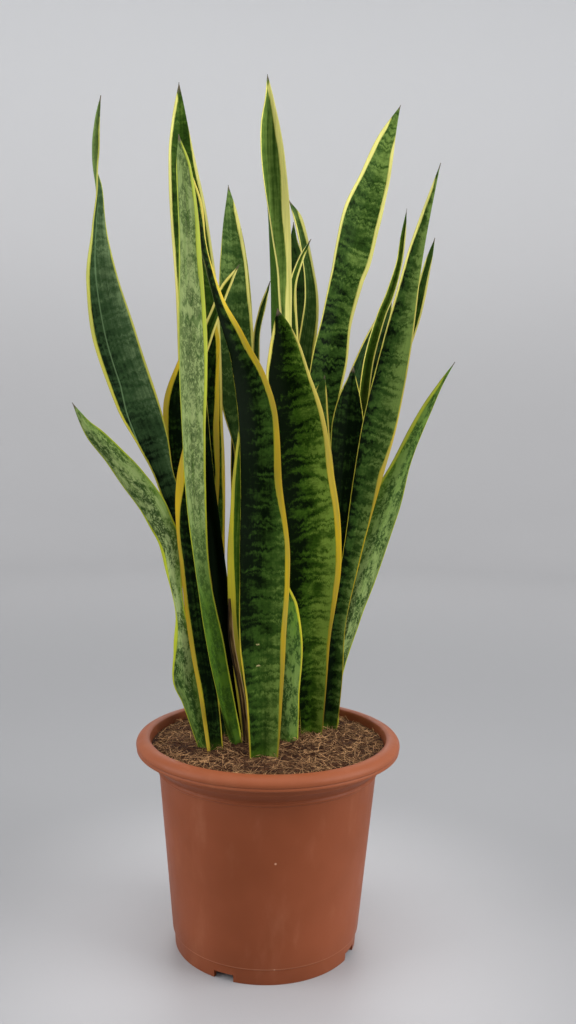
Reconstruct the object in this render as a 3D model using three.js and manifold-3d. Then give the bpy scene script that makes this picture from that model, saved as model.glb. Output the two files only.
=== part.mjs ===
// Potted laurentii snake plant: a clump of stiff, upright, yellow-edged leaves
// standing in a plain terracotta-coloured plastic pot filled with coir soil.
//
// Millimetres, +Z up. The origin is on the pot's axis, in the plane of its foot.
// The front of the plant faces -Y, and +X is to its right.

import * as THREE from "three";
import { mergeVertices } from "three/addons/utils/BufferGeometryUtils.js";
import Module from "manifold-3d";

const wasm = await Module();
wasm.setup();

// Pot
const POT_SIDES = 48;
const POT_WALL = 2.5;
const FOOT_RADIUS = 104;
const FOOT_HEIGHT = 17;
const FOOT_RING_WIDTH = 4.5;
const FLOOR_BOTTOM = 10;
const FLOOR_TOP = 13;
const BODY_BOTTOM_RADIUS = 107;
const BODY_TOP_RADIUS = 124;
const BODY_TOP = 201.5;
const BEAD_RADIUS = 125.8;
const RIM_RADIUS = 150;
const RIM_TOP = 241;
const RIM_MIDDLE = 232.5;
const RIM_CENTRE_RADIUS = 138;
const NECK_TOP = 231;
const LIP_BOTTOM = 226;
const LIP_TOP = 229.6;
const LIP_RADIUS = 149.3;
const LIP_WIDTH = 2.9;
const MOUTH_RADIUS = 133.5;
const NOTCH = { count: 4, width: 23, height: 8, depth: 30, firstAngle: -24 };
const DRAIN = { count: 6, radius: 5, ringRadius: 72, sides: 10, depth: 10 };

// Inside of the pot's wall from its floor to its mouth, as [radius, height]
const INNER_WALL = [
  [BODY_BOTTOM_RADIUS - POT_WALL, FLOOR_TOP],
  [BODY_TOP_RADIUS - POT_WALL, BODY_TOP],
  [122.5, BODY_TOP + 6],
  [126.5, BODY_TOP + 12.5],
  [132.2, BODY_TOP + 18],
  [MOUTH_RADIUS, 236],
];

// Soil and what lies in it
const GAP = 0.35;
const SOIL_EDGE = 230;
const SOIL_EDGE_RADIUS = 132.5;
const SOIL_MOUND = 5.5;
const SOIL_RINGS = [118, 98, 75, 50, 25];
const BURIED_END = 206;
const ABOVE_SOIL = 243;
const SOCKET_BOTTOM = 205;
const RHIZOME_TOP = 205.3;
const RHIZOME_RADIUS = 12;
const RHIZOME_SIDES = 10;
const RHIZOME_STEPS = 2;

// Leaf blades
const ACROSS = 5;
const RING_SPACING = 40;
const FOOT_THICKNESS = 5.5;
const BLADE_THICKNESS = 2.6;
const TIP_THICKNESS = 1.2;
const EDGE_THICKNESS = 1;
const TIP_WIDTH = 1.8;
const FOOT_FOLD = 42;
const FOOT_SHARE = 0.3;
const ROUND_KEEL = 0.4;
const SLENDER_HALF_WIDTH = 8;
const WAVE_LENGTH = 165;
const WAVE_STARTS = 0.2;
const WAVE_FULL = 0.45;
const TIP_CROWDING = 1.3;

const radians = THREE.MathUtils.degToRad;

// Colours of the real surfaces
const TERRACOTTA = new THREE.MeshStandardMaterial({ color: 0xa5613f, roughness: 0.55, metalness: 0 });
const COIR = new THREE.MeshStandardMaterial({ color: 0x5b4128, roughness: 1, metalness: 0 });
const LEAF_GREEN = new THREE.MeshStandardMaterial({ color: 0x2f4f28, roughness: 0.45, metalness: 0 });
const LEAF_BACK = new THREE.MeshStandardMaterial({ color: 0x7f9663, roughness: 0.5, metalness: 0 });
const RHIZOME = new THREE.MeshStandardMaterial({ color: 0xc9a05c, roughness: 0.7, metalness: 0 });
const DRY_LEAF = new THREE.MeshStandardMaterial({ color: 0x8a7550, roughness: 0.9, metalness: 0 });

// A leaf is a list of points up its middle line, from its buried end to its tip:
// [x, y, z, full width, turn]. Turn is the direction that its upper face looks in:
// 0 is the front (-Y), 90 is right (+X) and 180 is the back. fold is how far each
// half of the blade is raised towards the upper face, in degrees; keel below 0.2
// makes the fold a crease. wave is the height of the ripple of the margins.
const LEAVES = {
  leaf_left_tall: {
    fold: 20, wave: 1.5, route: [
      [-49, 4, 206, 25, 10], [-71, 5, 346, 29, 10], [-95, 0, 461, 25, 8], [-119, -6, 529, 23, 5],
      [-133, -10, 573, 37, 5], [-150, -17, 618, 49, 3], [-171, -26, 681, 51, 3],
      [-185, -35, 744, 36, 10], [-189, -42, 795, 21, 45], [-188, -47, 835, 15, 85],
      [-191, -51, 865, 16, 130], [-187, -57, 903, 7, 150], [-182, -60, 927, 0, 155],
    ],
  },
  leaf_left_back: {
    fold: 18, wave: 2, route: [
      [-54, 40, 206, 25, 0], [-73, 48, 385, 38, 10], [-85, 56, 574, 53, 13], [-94, 63, 738, 53, 15],
      [-102, 67, 808, 48, 16], [-114, 72, 901, 34, 17], [-117, 75, 947, 19, 17], [-118, 78, 991, 0, 18],
    ],
  },
  leaf_left_front: {
    fold: 25, wave: 1, pale: true, route: [
      [-32, -14, 206, 17, 168], [-47, -48, 288, 21, 168], [-60, -60, 358, 22, 165],
      [-72, -66, 425, 19, 160], [-79, -72, 490, 23, 160], [-83, -80, 564, 29, 162],
      [-84, -92, 675, 34, 165], [-87, -104, 783, 25, 165], [-91, -112, 840, 17, 165],
      [-95, -116, 872, 0, 165],
    ],
  },
  leaf_left_low: {
    fold: 15, wave: 1, route: [
      [-54, -50, 206, 19, 8], [-66, -34, 289, 22, 8], [-78, -31, 355, 24, 15], [-87, -30, 421, 25, 20],
      [-95, -30, 487, 22, 20], [-97, -29, 530, 17, 20], [-96, -28, 574, 0, 20],
    ],
  },
  leaf_left_wide: {
    fold: 15, wave: 2, route: [
      [-50, 20, 206, 22, 0], [-66, 22, 319, 31, 4], [-81, 24, 389, 33, 6], [-86, 25, 459, 44, 7],
      [-90, 26, 529, 58, 9], [-95, 24, 608, 66, 10], [-88, 23, 654, 52, 11], [-78, 21, 691, 32, 12],
      [-71, 20, 718, 0, 12],
    ],
  },
  leaf_left_outer: {
    fold: 20, wave: 1.5, pale: true, route: [
      [-62, -38, 206, 15, 180], [-86, -32, 286, 24, 180], [-93, -30, 308, 31, 180],
      [-95, -28, 341, 26, 178], [-102, -27, 386, 20, 140], [-109, -28, 426, 23, 150],
      [-112, -31, 459, 28, 165], [-121, -35, 482, 29, 175], [-131, -37, 503, 31, 180],
      [-151, -40, 531, 30, 185], [-171, -43, 556, 24, 185], [-190, -46, 577, 19, 185],
      [-201, -47, 590, 11, 185], [-214, -50, 612, 0, 185],
    ],
  },
  leaf_centre_front: {
    fold: 18, wave: 1.5, route: [
      [-4, -59, 206, 35, 4], [-5, -62, 296, 43, 9], [-8, -65, 362, 53, 12], [-7, -68, 449, 57, 12],
      [-12, -66, 534, 46, 12], [-16, -64, 597, 45, 12], [-25, -61, 638, 37, 12],
      [-39, -58, 675, 23, 20], [-59, -57, 718, 19, 50], [-76, -56, 773, 17, 60],
      [-84, -55, 819, 16, 60], [-92, -54, 861, 0, 60],
    ],
  },
  leaf_centre_slim: {
    fold: 20, wave: 1, route: [
      [-18, -4, 206, 16, 0], [-34, -12, 350, 22, 8], [-40, -16, 442, 21, 18], [-39, -19, 509, 17, 25],
      [-38, -21, 553, 10, 28], [-37, -22, 592, 0, 30],
    ],
  },
  leaf_centre_folded: {
    fold: 40, keel: 0.12, wave: 1, route: [
      [-30, 20, 206, 21, 0], [-49, 17, 346, 25, 0], [-65, 12, 462, 24, 0], [-79, 2, 575, 24, 0],
      [-83, -7, 660, 20, 0], [-74, -12, 689, 18, 0], [-65, -14, 712, 16, 0], [-55, -16, 738, 14, 0],
      [-39, -18, 766, 0, 0],
    ],
  },
  leaf_centre_back: {
    fold: 15, wave: 1.5, route: [
      [-16, 60, 206, 25, 8], [-26, 68, 382, 33, 16], [-33, 78, 557, 37, 24], [-45, 84, 623, 50, 25],
      [-51, 90, 696, 49, 27], [-54, 97, 768, 41, 28], [-58, 106, 852, 15, 29], [-61, 110, 883, 0, 30],
    ],
  },
  leaf_centre_thin: {
    fold: 20, wave: 0.5, route: [
      [-1, 44, 206, 16, 15], [-11, 48, 386, 22, 40], [-22, 52, 575, 25, 52], [-24, 54, 692, 16, 60],
      [-18, 54, 727, 14, 60], [-7, 54, 760, 0, 60],
    ],
  },
  leaf_tallest: {
    fold: 45, keel: 0.15, wave: 1, route: [
      [14, 40, 206, 26, 20], [11, 42, 390, 34, 30], [4, 42, 576, 38, 50], [-3, 40, 690, 48, 78],
      [-5, 36, 757, 50, 64], [-8, 32, 824, 46, 46], [-12, 29, 889, 42, 28], [-13, 27, 927, 32, 22],
      [-12, 25, 953, 17, 20], [-13, 24, 982, 0, 20],
    ],
  },
  leaf_rear_left: {
    fold: 20, wave: 1, route: [
      [-29, 84, 206, 21, 10], [-33, 96, 378, 32, 30], [-44, 112, 575, 52, 50], [-46, 124, 723, 39, 53],
      [-45, 131, 786, 23, 54], [-46, 136, 837, 0, 55],
    ],
  },
  leaf_right_front: {
    fold: 15, wave: 2, route: [
      [50, 23, 206, 26, 0], [49, 18, 287, 35, 5], [48, 14, 346, 43, 8], [48, 2, 440, 63, 9],
      [45, -4, 486, 65, 9], [38, -10, 532, 63, 10], [26, -18, 599, 60, 11], [15, -24, 642, 52, 11],
      [11, -28, 674, 38, 12], [8, -31, 694, 23, 12], [3, -34, 717, 0, 12],
    ],
  },
  leaf_front_short: {
    fold: 20, wave: 1, pale: true, route: [
      [25, -13, 206, 22, 180], [19, -20, 285, 33, 180], [19, -25, 343, 39, 180],
      [16, -26, 388, 33, 180], [12, -27, 416, 16, 180], [10, -27, 439, 0, 180],
    ],
  },
  leaf_right_broad: {
    fold: 15, wave: 1.5, route: [
      [49, 74, 206, 25, 0], [55, 76, 382, 42, 7], [55, 82, 528, 51, 12], [57, 87, 625, 43, 14],
      [64, 90, 674, 47, 15], [72, 95, 722, 40, 15], [83, 100, 771, 43, 16], [89, 102, 795, 49, 17],
      [99, 109, 844, 53, 18], [115, 116, 893, 40, 18], [130, 125, 944, 23, 19], [148, 132, 988, 0, 20],
    ],
  },
  leaf_right_tall: {
    fold: 20, wave: 2, route: [
      [71, 43, 206, 19, 0], [75, 40, 293, 24, 0], [79, 38, 365, 21, 0], [92, 32, 438, 23, 0],
      [108, 24, 531, 34, 0], [121, 15, 601, 42, 0], [135, 4, 678, 35, 0], [151, -12, 775, 20, 0],
      [160, -19, 816, 12, 0], [175, -28, 874, 0, 0],
    ],
  },
  leaf_right_folded: {
    fold: 52, keel: 0.12, wave: 0.5, route: [
      [74, 74, 206, 20, 0], [83, 84, 383, 22, 0], [98, 88, 530, 22, 0], [107, 92, 627, 20, 0],
      [113, 94, 676, 20, 0], [127, 98, 728, 18, 0], [137, 99, 754, 17, 0], [147, 102, 790, 13, 0],
      [151, 104, 818, 11, 0], [156, 108, 858, 0, 0],
    ],
  },
  leaf_right_rear: {
    fold: 20, wave: 1, route: [
      [58, 98, 206, 18, 0], [73, 106, 378, 29, 10], [88, 114, 528, 44, 18], [100, 121, 627, 47, 21],
      [117, 126, 688, 35, 23], [133, 130, 732, 20, 25], [143, 134, 770, 0, 26],
    ],
  },
  leaf_right_back: {
    fold: 20, wave: 1, route: [
      [72, 90, 206, 16, -5], [90, 94, 381, 20, -25], [122, 98, 528, 26, -40], [146, 108, 651, 27, -42],
      [170, 114, 724, 20, -43], [181, 120, 769, 16, -44], [187, 124, 796, 13, -44],
      [194, 128, 828, 0, -45],
    ],
  },
  leaf_right_outer: {
    fold: 20, wave: 1, pale: true, route: [
      [78, 57, 206, 14, 180], [79, 58, 288, 18, 184], [95, 60, 362, 29, 188], [116, 62, 434, 41, 192],
      [135, 65, 494, 41, 194], [156, 67, 554, 25, 196], [176, 69, 602, 18, 198], [197, 71, 644, 7, 199],
      [214, 73, 672, 0, 200],
    ],
  },
  leaf_right_inner: {
    fold: 15, wave: 1, route: [
      [62, 58, 206, 19, 0], [73, 56, 389, 29, 10], [82, 55, 530, 37, 13], [85, 54, 589, 41, 14],
      [87, 54, 624, 29, 15], [92, 54, 664, 0, 16],
    ],
  },
  leaf_rear_centre: {
    fold: 20, wave: 1, route: [
      [33, 79, 206, 21, 5], [32, 85, 380, 33, 20], [32, 92, 576, 41, 36], [33, 101, 674, 29, 39],
      [40, 108, 747, 25, 41], [32, 115, 808, 19, 42], [23, 119, 845, 15, 43], [13, 122, 869, 0, 44],
    ],
  },
  leaf_rear_dark: {
    fold: 20, wave: 1, route: [
      [18, 92, 206, 21, -5], [25, 106, 376, 39, -20], [32, 124, 576, 45, -36], [32, 136, 714, 35, -41],
      [29, 141, 788, 31, -43], [21, 143, 825, 12, -44], [19, 145, 848, 0, -45],
    ],
  },
  leaf_rear_narrow: {
    fold: 30, wave: 0.5, route: [
      [25, 62, 206, 16, 8], [18, 64, 384, 19, 22], [17, 66, 576, 23, 38], [18, 70, 695, 19, 42],
      [17, 72, 755, 13, 44], [27, 73, 790, 10, 45], [40, 74, 813, 0, 46],
    ],
  },
  leaf_young: {
    fold: 15, wave: 0.5, route: [
      [45, 45, 206, 17, 0], [50, 42, 386, 23, -20], [58, 39, 529, 35, -28], [55, 38, 588, 26, -31],
      [55, 38, 629, 17, -33], [58, 38, 651, 0, -34],
    ],
  },
};

// The dried remains of an old outer leaf, a narrow curled strip beside the front leaves.
const DRIED_LEAF = {
  fold: 20, wave: 0, thin: true, route: [
    [-21, -27, 206, 8, 0], [-29, -25, 285, 7, 0], [-42, -27, 353, 7, 0], [-45, -27, 400, 3, 0],
  ],
};

// Rhizomes: creeping underground stems that the leaves rise from, as [x, y, radius].
const RHIZOMES = {
  rhizome_left: [[-61, -54, 7], [-58, -38, 10], [-46, -12, 12], [-50, 14, 12], [-54, 36, 11], [-52, 52, 6]],
  rhizome_centre: [[-6, -70, 6], [-3, -56, 11], [10, -30, 12], [8, -6, 12], [-14, 4, 11], [-34, 16, 6]],
  rhizome_rear: [[-38, 88, 6], [-26, 76, 11], [-4, 58, 12], [18, 66, 12], [26, 84, 12], [28, 98, 6]],
  rhizome_right: [[40, 18, 6], [52, 26, 11], [66, 40, 12], [77, 56, 12], [74, 76, 11], [62, 92, 6]],
};

// Smooth curve through values given at rising positions. Flat at a peak when
// monotone is set, so that a width never overshoots.
function smooth(at, values, monotone) {
  const last = at.length - 1;
  const chord = (i) => (values[i + 1] - values[i]) / (at[i + 1] - at[i]);
  const slopes = values.map((value, i) => {
    if (i === 0) return chord(0);
    if (i === last) return chord(last - 1);
    const before = chord(i - 1);
    const after = chord(i);
    if (!monotone) return (values[i + 1] - values[i - 1]) / (at[i + 1] - at[i - 1]);
    return before * after <= 0 ? 0 : (2 * before * after) / (before + after);
  });
  return (s) => {
    let i = 0;
    while (i < last - 1 && s > at[i + 1]) i += 1;
    const span = at[i + 1] - at[i];
    const t = (s - at[i]) / span;
    const u = 1 - t;
    return (
      values[i] * u * u * (1 + 2 * t) +
      values[i + 1] * t * t * (3 - 2 * t) +
      span * t * u * (slopes[i] * u - slopes[i + 1] * t)
    );
  };
}

// A closed solid through rings of points. A ring's first half runs left to right
// over the top and its second half comes back underneath; both halves are split alike.
function loft(rings) {
  const count = rings[0].length;
  const half = count / 2;
  const positions = rings.flat().flatMap((p) => [p.x, p.y, p.z]);
  const faces = [];
  for (let k = 0; k < rings.length - 1; k += 1) {
    for (let i = 0; i < count; i += 1) {
      const a = k * count + i;
      const b = k * count + ((i + 1) % count);
      const c = b + count;
      const d = a + count;
      if (i < half) faces.push(a, b, c, a, c, d);
      else faces.push(a, b, d, b, c, d);
    }
  }
  const end = (rings.length - 1) * count;
  for (let i = 0; i < half - 1; i += 1) {
    const under = count - 1 - i;
    faces.push(i, under - 1, i + 1, i, under, under - 1);
    faces.push(end + i, end + i + 1, end + under - 1, end + i, end + under - 1, end + under);
  }
  const geometry = new THREE.BufferGeometry();
  geometry.setAttribute("position", new THREE.Float32BufferAttribute(positions, 3));
  geometry.setIndex(faces);
  return geometry;
}

// A geometry as a solid that can be cut, and a cut solid as a geometry again.
function toSolid(geometry) {
  const plain = geometry.clone();
  plain.deleteAttribute("normal");
  plain.deleteAttribute("uv");
  const merged = mergeVertices(plain, 1e-3);
  return new wasm.Manifold(
    new wasm.Mesh({
      numProp: 3,
      vertProperties: merged.attributes.position.array,
      triVerts: new Uint32Array(merged.index.array),
    }),
  );
}

function toGeometry(solid) {
  const mesh = solid.getMesh();
  const geometry = new THREE.BufferGeometry();
  geometry.setAttribute("position", new THREE.BufferAttribute(mesh.vertProperties, 3));
  geometry.setIndex(new THREE.BufferAttribute(mesh.triVerts, 1));
  return geometry;
}

// Everything needed to find a leaf's section at distance s along its route.
function leafCurves(leaf) {
  const at = [0];
  leaf.route.slice(1).forEach((row, i) => {
    const before = leaf.route[i];
    at.push(at[i] + Math.hypot(row[0] - before[0], row[1] - before[1], row[2] - before[2]));
  });
  const column = (k, monotone) => smooth(at, leaf.route.map((row) => row[k]), monotone);
  const x = column(0);
  const y = column(1);
  const z = column(2);
  return {
    length: at[at.length - 1],
    width: column(3, true),
    turn: column(4, true),
    point: (s) => new THREE.Vector3(x(s), y(s), z(s)),
  };
}

// One section across a leaf: its upper surface left to right, then its under surface back.
// grow makes the section larger all round, for the hole that it stands in.
function leafRing(leaf, curves, s, grow = 0) {
  const v = s / curves.length;
  const step = 0.5;
  const middle = curves.point(s);
  const along = curves.point(Math.min(s + step, curves.length));
  along.sub(curves.point(Math.max(s - step, 0))).normalize();
  const turn = radians(curves.turn(s));
  const side = new THREE.Vector3(Math.cos(turn), Math.sin(turn), 0);
  side.addScaledVector(along, -side.dot(along)).normalize();
  const normal = side.clone().cross(along);

  const halfWidth = Math.max(curves.width(s), TIP_WIDTH) / 2 + grow;
  const footShare = Math.max(0, 1 - v / FOOT_SHARE) ** 2;
  const fold = radians(THREE.MathUtils.lerp(leaf.fold, FOOT_FOLD, footShare));
  const keel = leaf.keel ?? ROUND_KEEL;
  const lift = (u) => (Math.hypot(u, keel) - keel) / (Math.hypot(1, keel) - keel);
  const slender = Math.min(1, halfWidth / SLENDER_HALF_WIDTH);
  const blade = THREE.MathUtils.lerp(BLADE_THICKNESS, FOOT_THICKNESS, footShare);
  const middleThickness = leaf.thin ? EDGE_THICKNESS : THREE.MathUtils.lerp(TIP_THICKNESS, blade, slender);
  const ripple = leaf.wave * Math.sin((s / WAVE_LENGTH) * 2 * Math.PI + leaf.route[0][0]);
  const rippleShare = THREE.MathUtils.smoothstep(v, WAVE_STARTS, WAVE_FULL) * slender;

  const upper = [];
  const under = [];
  for (let i = 0; i < ACROSS; i += 1) {
    const u = (2 * i) / (ACROSS - 1) - 1;
    const thickness = THREE.MathUtils.lerp(middleThickness, EDGE_THICKNESS, u * u) + 2 * grow;
    const raised =
      halfWidth * Math.sin(fold) * lift(u) + ripple * rippleShare * u * Math.abs(u);
    const centre = middle.clone();
    centre.addScaledVector(side, halfWidth * u * Math.cos(fold));
    centre.addScaledVector(normal, raised);
    upper.push(centre.clone().addScaledVector(normal, thickness / 2));
    under.unshift(centre.clone().addScaledVector(normal, -thickness / 2));
  }
  return [...upper, ...under];
}

// Distance along a leaf at which it reaches a height.
function distanceAt(curves, height) {
  let s = 0;
  while (curves.point(s).z < height) s += 0.5;
  return s;
}

// A whole leaf: one ring at its buried end, then rings from the soil to the tip that
// crowd together towards the tip.
function leafGeometry(leaf) {
  const curves = leafCurves(leaf);
  const surface = distanceAt(curves, ABOVE_SOIL);
  const steps = Math.max(5, Math.round((curves.length - surface) / RING_SPACING));
  const rings = [leafRing(leaf, curves, 0)];
  for (let i = 0; i <= steps; i += 1) {
    const share = 1 - (1 - i / steps) ** TIP_CROWDING;
    rings.push(leafRing(leaf, curves, THREE.MathUtils.lerp(surface, curves.length, share)));
  }
  return loft(rings);
}

// The plain hole in the soil that a leaf's foot stands in.
function leafSocket(leaf) {
  const curves = leafCurves(leaf);
  const foot = leafRing(leaf, curves, 0, GAP);
  const surface = leafRing(leaf, curves, distanceAt(curves, ABOVE_SOIL), GAP);
  const below = (SOCKET_BOTTOM - BURIED_END) / (ABOVE_SOIL - BURIED_END);
  const bottom = foot.map((point, i) => point.clone().lerp(surface[i], below));
  return loft([bottom, surface]);
}

// A rhizome lying flat, its thickest stretch touching the height of the leaves' feet.
function rhizomeGeometry(route, grow = 0) {
  const at = route.map((row, i) => i);
  const column = (k) => smooth(at, route.map((row) => row[k]), false);
  const [x, y, radius] = [column(0), column(1), column(2)];
  const rings = [];
  const near = 0.05;
  for (let k = 0; k <= (route.length - 1) * RHIZOME_STEPS; k += 1) {
    const s = k / RHIZOME_STEPS;
    const ahead = new THREE.Vector3(x(s + near) - x(s - near), y(s + near) - y(s - near), 0);
    ahead.normalize();
    const side = new THREE.Vector3(0, 0, 1).cross(ahead).negate();
    const top = side.clone().cross(ahead);
    const centre = new THREE.Vector3(x(s), y(s), RHIZOME_TOP - RHIZOME_RADIUS);
    const r = radius(s) + grow;
    const ring = [];
    for (let i = 0; i < RHIZOME_SIDES; i += 1) {
      const angle = Math.PI - (2 * Math.PI * (i + 0.5)) / RHIZOME_SIDES;
      const point = centre.clone();
      point.addScaledVector(side, Math.cos(angle) * r);
      point.addScaledVector(top, Math.sin(angle) * r);
      ring.push(point);
    }
    rings.push(ring);
  }
  const ends = [rings[0], rings[rings.length - 1]];
  ends.forEach((ring, i) => {
    const inner = i === 0 ? rings[1] : rings[rings.length - 2];
    const outward = centreOf(ring).sub(centreOf(inner)).normalize();
    ring.forEach((point) => point.addScaledVector(outward, grow));
  });
  return loft(rings);
}

// The middle of a ring of points.
function centreOf(points) {
  const sum = new THREE.Vector3();
  points.forEach((point) => sum.add(point));
  return sum.divideScalar(points.length);
}

// A solid of revolution about the pot's axis, from [radius, height] points that
// start and end on the axis and run up the outside.
function revolve(profile, sides) {
  const points = profile.map(([radius, height]) => new THREE.Vector2(radius, height));
  const geometry = new THREE.LatheGeometry(points, sides);
  geometry.rotateX(Math.PI / 2);
  return geometry;
}

// Part of the rim's round, from one angle to another, as profile points.
function rimArc(outward, up, from, to, steps) {
  return Array.from({ length: steps + 1 }, (_, i) => {
    const angle = radians(THREE.MathUtils.lerp(from, to, i / steps));
    return [RIM_CENTRE_RADIUS + outward * Math.cos(angle), RIM_MIDDLE + up * Math.sin(angle)];
  });
}

// The pot: a turned shell whose rim turns over to a thin hanging lip, with notches in its foot
// and holes in its floor.
function potGeometry() {
  const rimOut = RIM_RADIUS - RIM_CENTRE_RADIUS;
  const rimUp = RIM_TOP - RIM_MIDDLE;
  const footInner = FOOT_RADIUS - FOOT_RING_WIDTH;
  const profile = [
    [0, FLOOR_BOTTOM],
    [footInner - 2, FLOOR_BOTTOM],
    [footInner, 0],
    [FOOT_RADIUS, 0],
    [FOOT_RADIUS + 1.2, FOOT_HEIGHT],
    [BODY_BOTTOM_RADIUS, FOOT_HEIGHT + 1.5],
    [BODY_TOP_RADIUS, BODY_TOP],
    [BEAD_RADIUS, BODY_TOP + 1.3],
    [BEAD_RADIUS, BODY_TOP + 3.7],
    [BODY_TOP_RADIUS + 0.6, BODY_TOP + 5],
    [BODY_TOP_RADIUS + 3, BODY_TOP + 9],
    [MOUTH_RADIUS, BODY_TOP + 15],
    [MOUTH_RADIUS + POT_WALL, NECK_TOP],
    ...rimArc(rimOut - POT_WALL, rimUp - POT_WALL, 80, -20, 4),
    [LIP_RADIUS - LIP_WIDTH, LIP_BOTTOM],
    [LIP_RADIUS - 0.7, LIP_BOTTOM],
    [LIP_RADIUS, LIP_BOTTOM + 1],
    [LIP_RADIUS, LIP_TOP - 0.6],
    [LIP_RADIUS - 0.6, LIP_TOP],
    ...rimArc(rimOut, rimUp, -15, 90, 7),
    [MOUTH_RADIUS + 1.2, RIM_TOP - 1.5],
    ...[...INNER_WALL].reverse(),
    [0, FLOOR_TOP],
  ];
  let solid = toSolid(revolve(profile, POT_SIDES));
  for (let i = 0; i < NOTCH.count; i += 1) {
    const notch = new THREE.BoxGeometry(NOTCH.width, NOTCH.depth, 2 * NOTCH.height);
    notch.translate(0, -FOOT_RADIUS, 0);
    notch.rotateZ(radians(NOTCH.firstAngle + (i * 360) / NOTCH.count));
    solid = solid.subtract(toSolid(notch));
  }
  for (let i = 0; i <= DRAIN.count; i += 1) {
    const hole = new THREE.CylinderGeometry(DRAIN.radius, DRAIN.radius, DRAIN.depth, DRAIN.sides);
    hole.rotateX(Math.PI / 2);
    hole.translate(i < DRAIN.count ? DRAIN.ringRadius : 0, 0, FLOOR_BOTTOM + 1);
    hole.rotateZ((i * 2 * Math.PI) / DRAIN.count);
    solid = solid.subtract(toSolid(hole));
  }
  return toGeometry(solid);
}

// Soil: fills the pot to just under its rim, slightly mounded and uneven on top.
function soilGeometry() {
  const wall = INNER_WALL.slice(0, -1).map(([radius, height]) => [radius - GAP, height + GAP]);
  const outline = [[0, FLOOR_TOP + GAP], ...wall, [SOIL_EDGE_RADIUS, SOIL_EDGE]];
  const top = [...SOIL_RINGS, 0].map((radius) => [radius, SOIL_EDGE]);
  const geometry = revolve([...outline, ...top], POT_SIDES);
  const position = geometry.attributes.position;
  const edge = MOUTH_RADIUS;
  for (let i = 0; i < position.count; i += 1) {
    if (position.getZ(i) < SOIL_EDGE - 0.01) continue;
    const x = position.getX(i);
    const y = position.getY(i);
    const share = 1 - (x * x + y * y) / (edge * edge);
    const bumps = Math.sin(x / 17 + 1) * Math.cos(y / 13) + 0.6 * Math.sin((x + y) / 9);
    position.setZ(i, SOIL_EDGE + share * (SOIL_MOUND + bumps));
  }
  let solid = toSolid(geometry);
  for (const leaf of [...Object.values(LEAVES), DRIED_LEAF]) {
    solid = solid.subtract(toSolid(leafSocket(leaf)));
  }
  for (const route of Object.values(RHIZOMES)) {
    solid = solid.subtract(toSolid(rhizomeGeometry(route, GAP)));
  }
  return toGeometry(solid);
}

const group = new THREE.Group();

// Adds one named piece of the plant or its pot.
function add(name, geometry, material) {
  geometry.computeVertexNormals();
  const mesh = new THREE.Mesh(geometry, material);
  mesh.name = name;
  group.add(mesh);
}

add("pot", potGeometry(), TERRACOTTA);
add("soil", soilGeometry(), COIR);
for (const [name, route] of Object.entries(RHIZOMES)) {
  add(name, rhizomeGeometry(route), RHIZOME);
}
for (const [name, leaf] of Object.entries(LEAVES)) {
  add(name, leafGeometry(leaf), leaf.pale ? LEAF_BACK : LEAF_GREEN);
}
add("dried_leaf", leafGeometry(DRIED_LEAF), DRY_LEAF);

export default group;
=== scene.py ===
import bpy
import random
import numpy as np
from math import cos, dist, hypot, pi, radians, sin, sqrt
from mathutils import Matrix, Vector, noise


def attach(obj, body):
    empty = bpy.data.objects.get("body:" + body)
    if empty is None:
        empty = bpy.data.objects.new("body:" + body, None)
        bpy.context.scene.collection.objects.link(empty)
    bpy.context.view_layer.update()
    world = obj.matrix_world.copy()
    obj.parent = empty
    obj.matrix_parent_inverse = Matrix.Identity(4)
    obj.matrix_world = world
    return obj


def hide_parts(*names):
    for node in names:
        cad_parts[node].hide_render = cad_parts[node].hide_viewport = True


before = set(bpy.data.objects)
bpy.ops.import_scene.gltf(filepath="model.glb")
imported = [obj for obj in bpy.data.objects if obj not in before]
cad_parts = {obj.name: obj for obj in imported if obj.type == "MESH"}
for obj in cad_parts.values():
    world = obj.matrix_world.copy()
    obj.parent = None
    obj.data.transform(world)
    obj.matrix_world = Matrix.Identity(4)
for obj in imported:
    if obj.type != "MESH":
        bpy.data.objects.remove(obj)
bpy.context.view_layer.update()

# Potted laurentii snake plant. Metres, +Z up, the front faces -Y.
# The leaves, pot and soil are measured in millimetres, times mm.
mm = 0.001


# Mesh helpers

def deselect():
    bpy.ops.object.select_all(action="DESELECT")


def activate(piece):
    deselect()
    piece.select_set(True)
    bpy.context.view_layer.objects.active = piece


def startEdit(kind="VERT"):  # edit mode, with the whole mesh selected
    bpy.ops.object.mode_set(mode="EDIT")
    bpy.ops.mesh.select_mode(type=kind)
    bpy.ops.mesh.select_all(action="SELECT")


def endEdit():
    bpy.ops.mesh.select_mode(type="VERT")
    bpy.ops.object.mode_set(mode="OBJECT")


def applyModifiers(piece):
    activate(piece)
    for modifier in list(piece.modifiers):
        bpy.ops.object.modifier_apply(modifier=modifier.name)


def turnShape(name, profile, sides, scale=mm, closed=True):  # a disc pulled along (radius, height) pairs
    radius, height = profile[0]
    deselect()
    bpy.ops.mesh.primitive_circle_add(
        vertices=sides, radius=radius * scale, fill_type="NGON", location=(0, 0, height * scale))
    piece = bpy.context.object
    piece.name = name
    bpy.ops.object.transform_apply(location=True, rotation=False, scale=False)
    startEdit("EDGE")
    bpy.ops.mesh.region_to_loop()
    for (r0, z0), (r1, z1) in zip(profile, profile[1:]):
        bpy.ops.mesh.extrude_edges_move(TRANSFORM_OT_translate={"value": (0, 0, (z1 - z0) * scale)})
        grow = r1 / r0
        bpy.ops.transform.resize(value=(grow, grow, 1), center_override=(0, 0, z1 * scale))
    if closed:
        bpy.ops.mesh.edge_face_add()
        bpy.ops.mesh.select_all(action="SELECT")
        bpy.ops.mesh.normals_make_consistent(inside=False)
    endEdit()
    return piece


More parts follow.
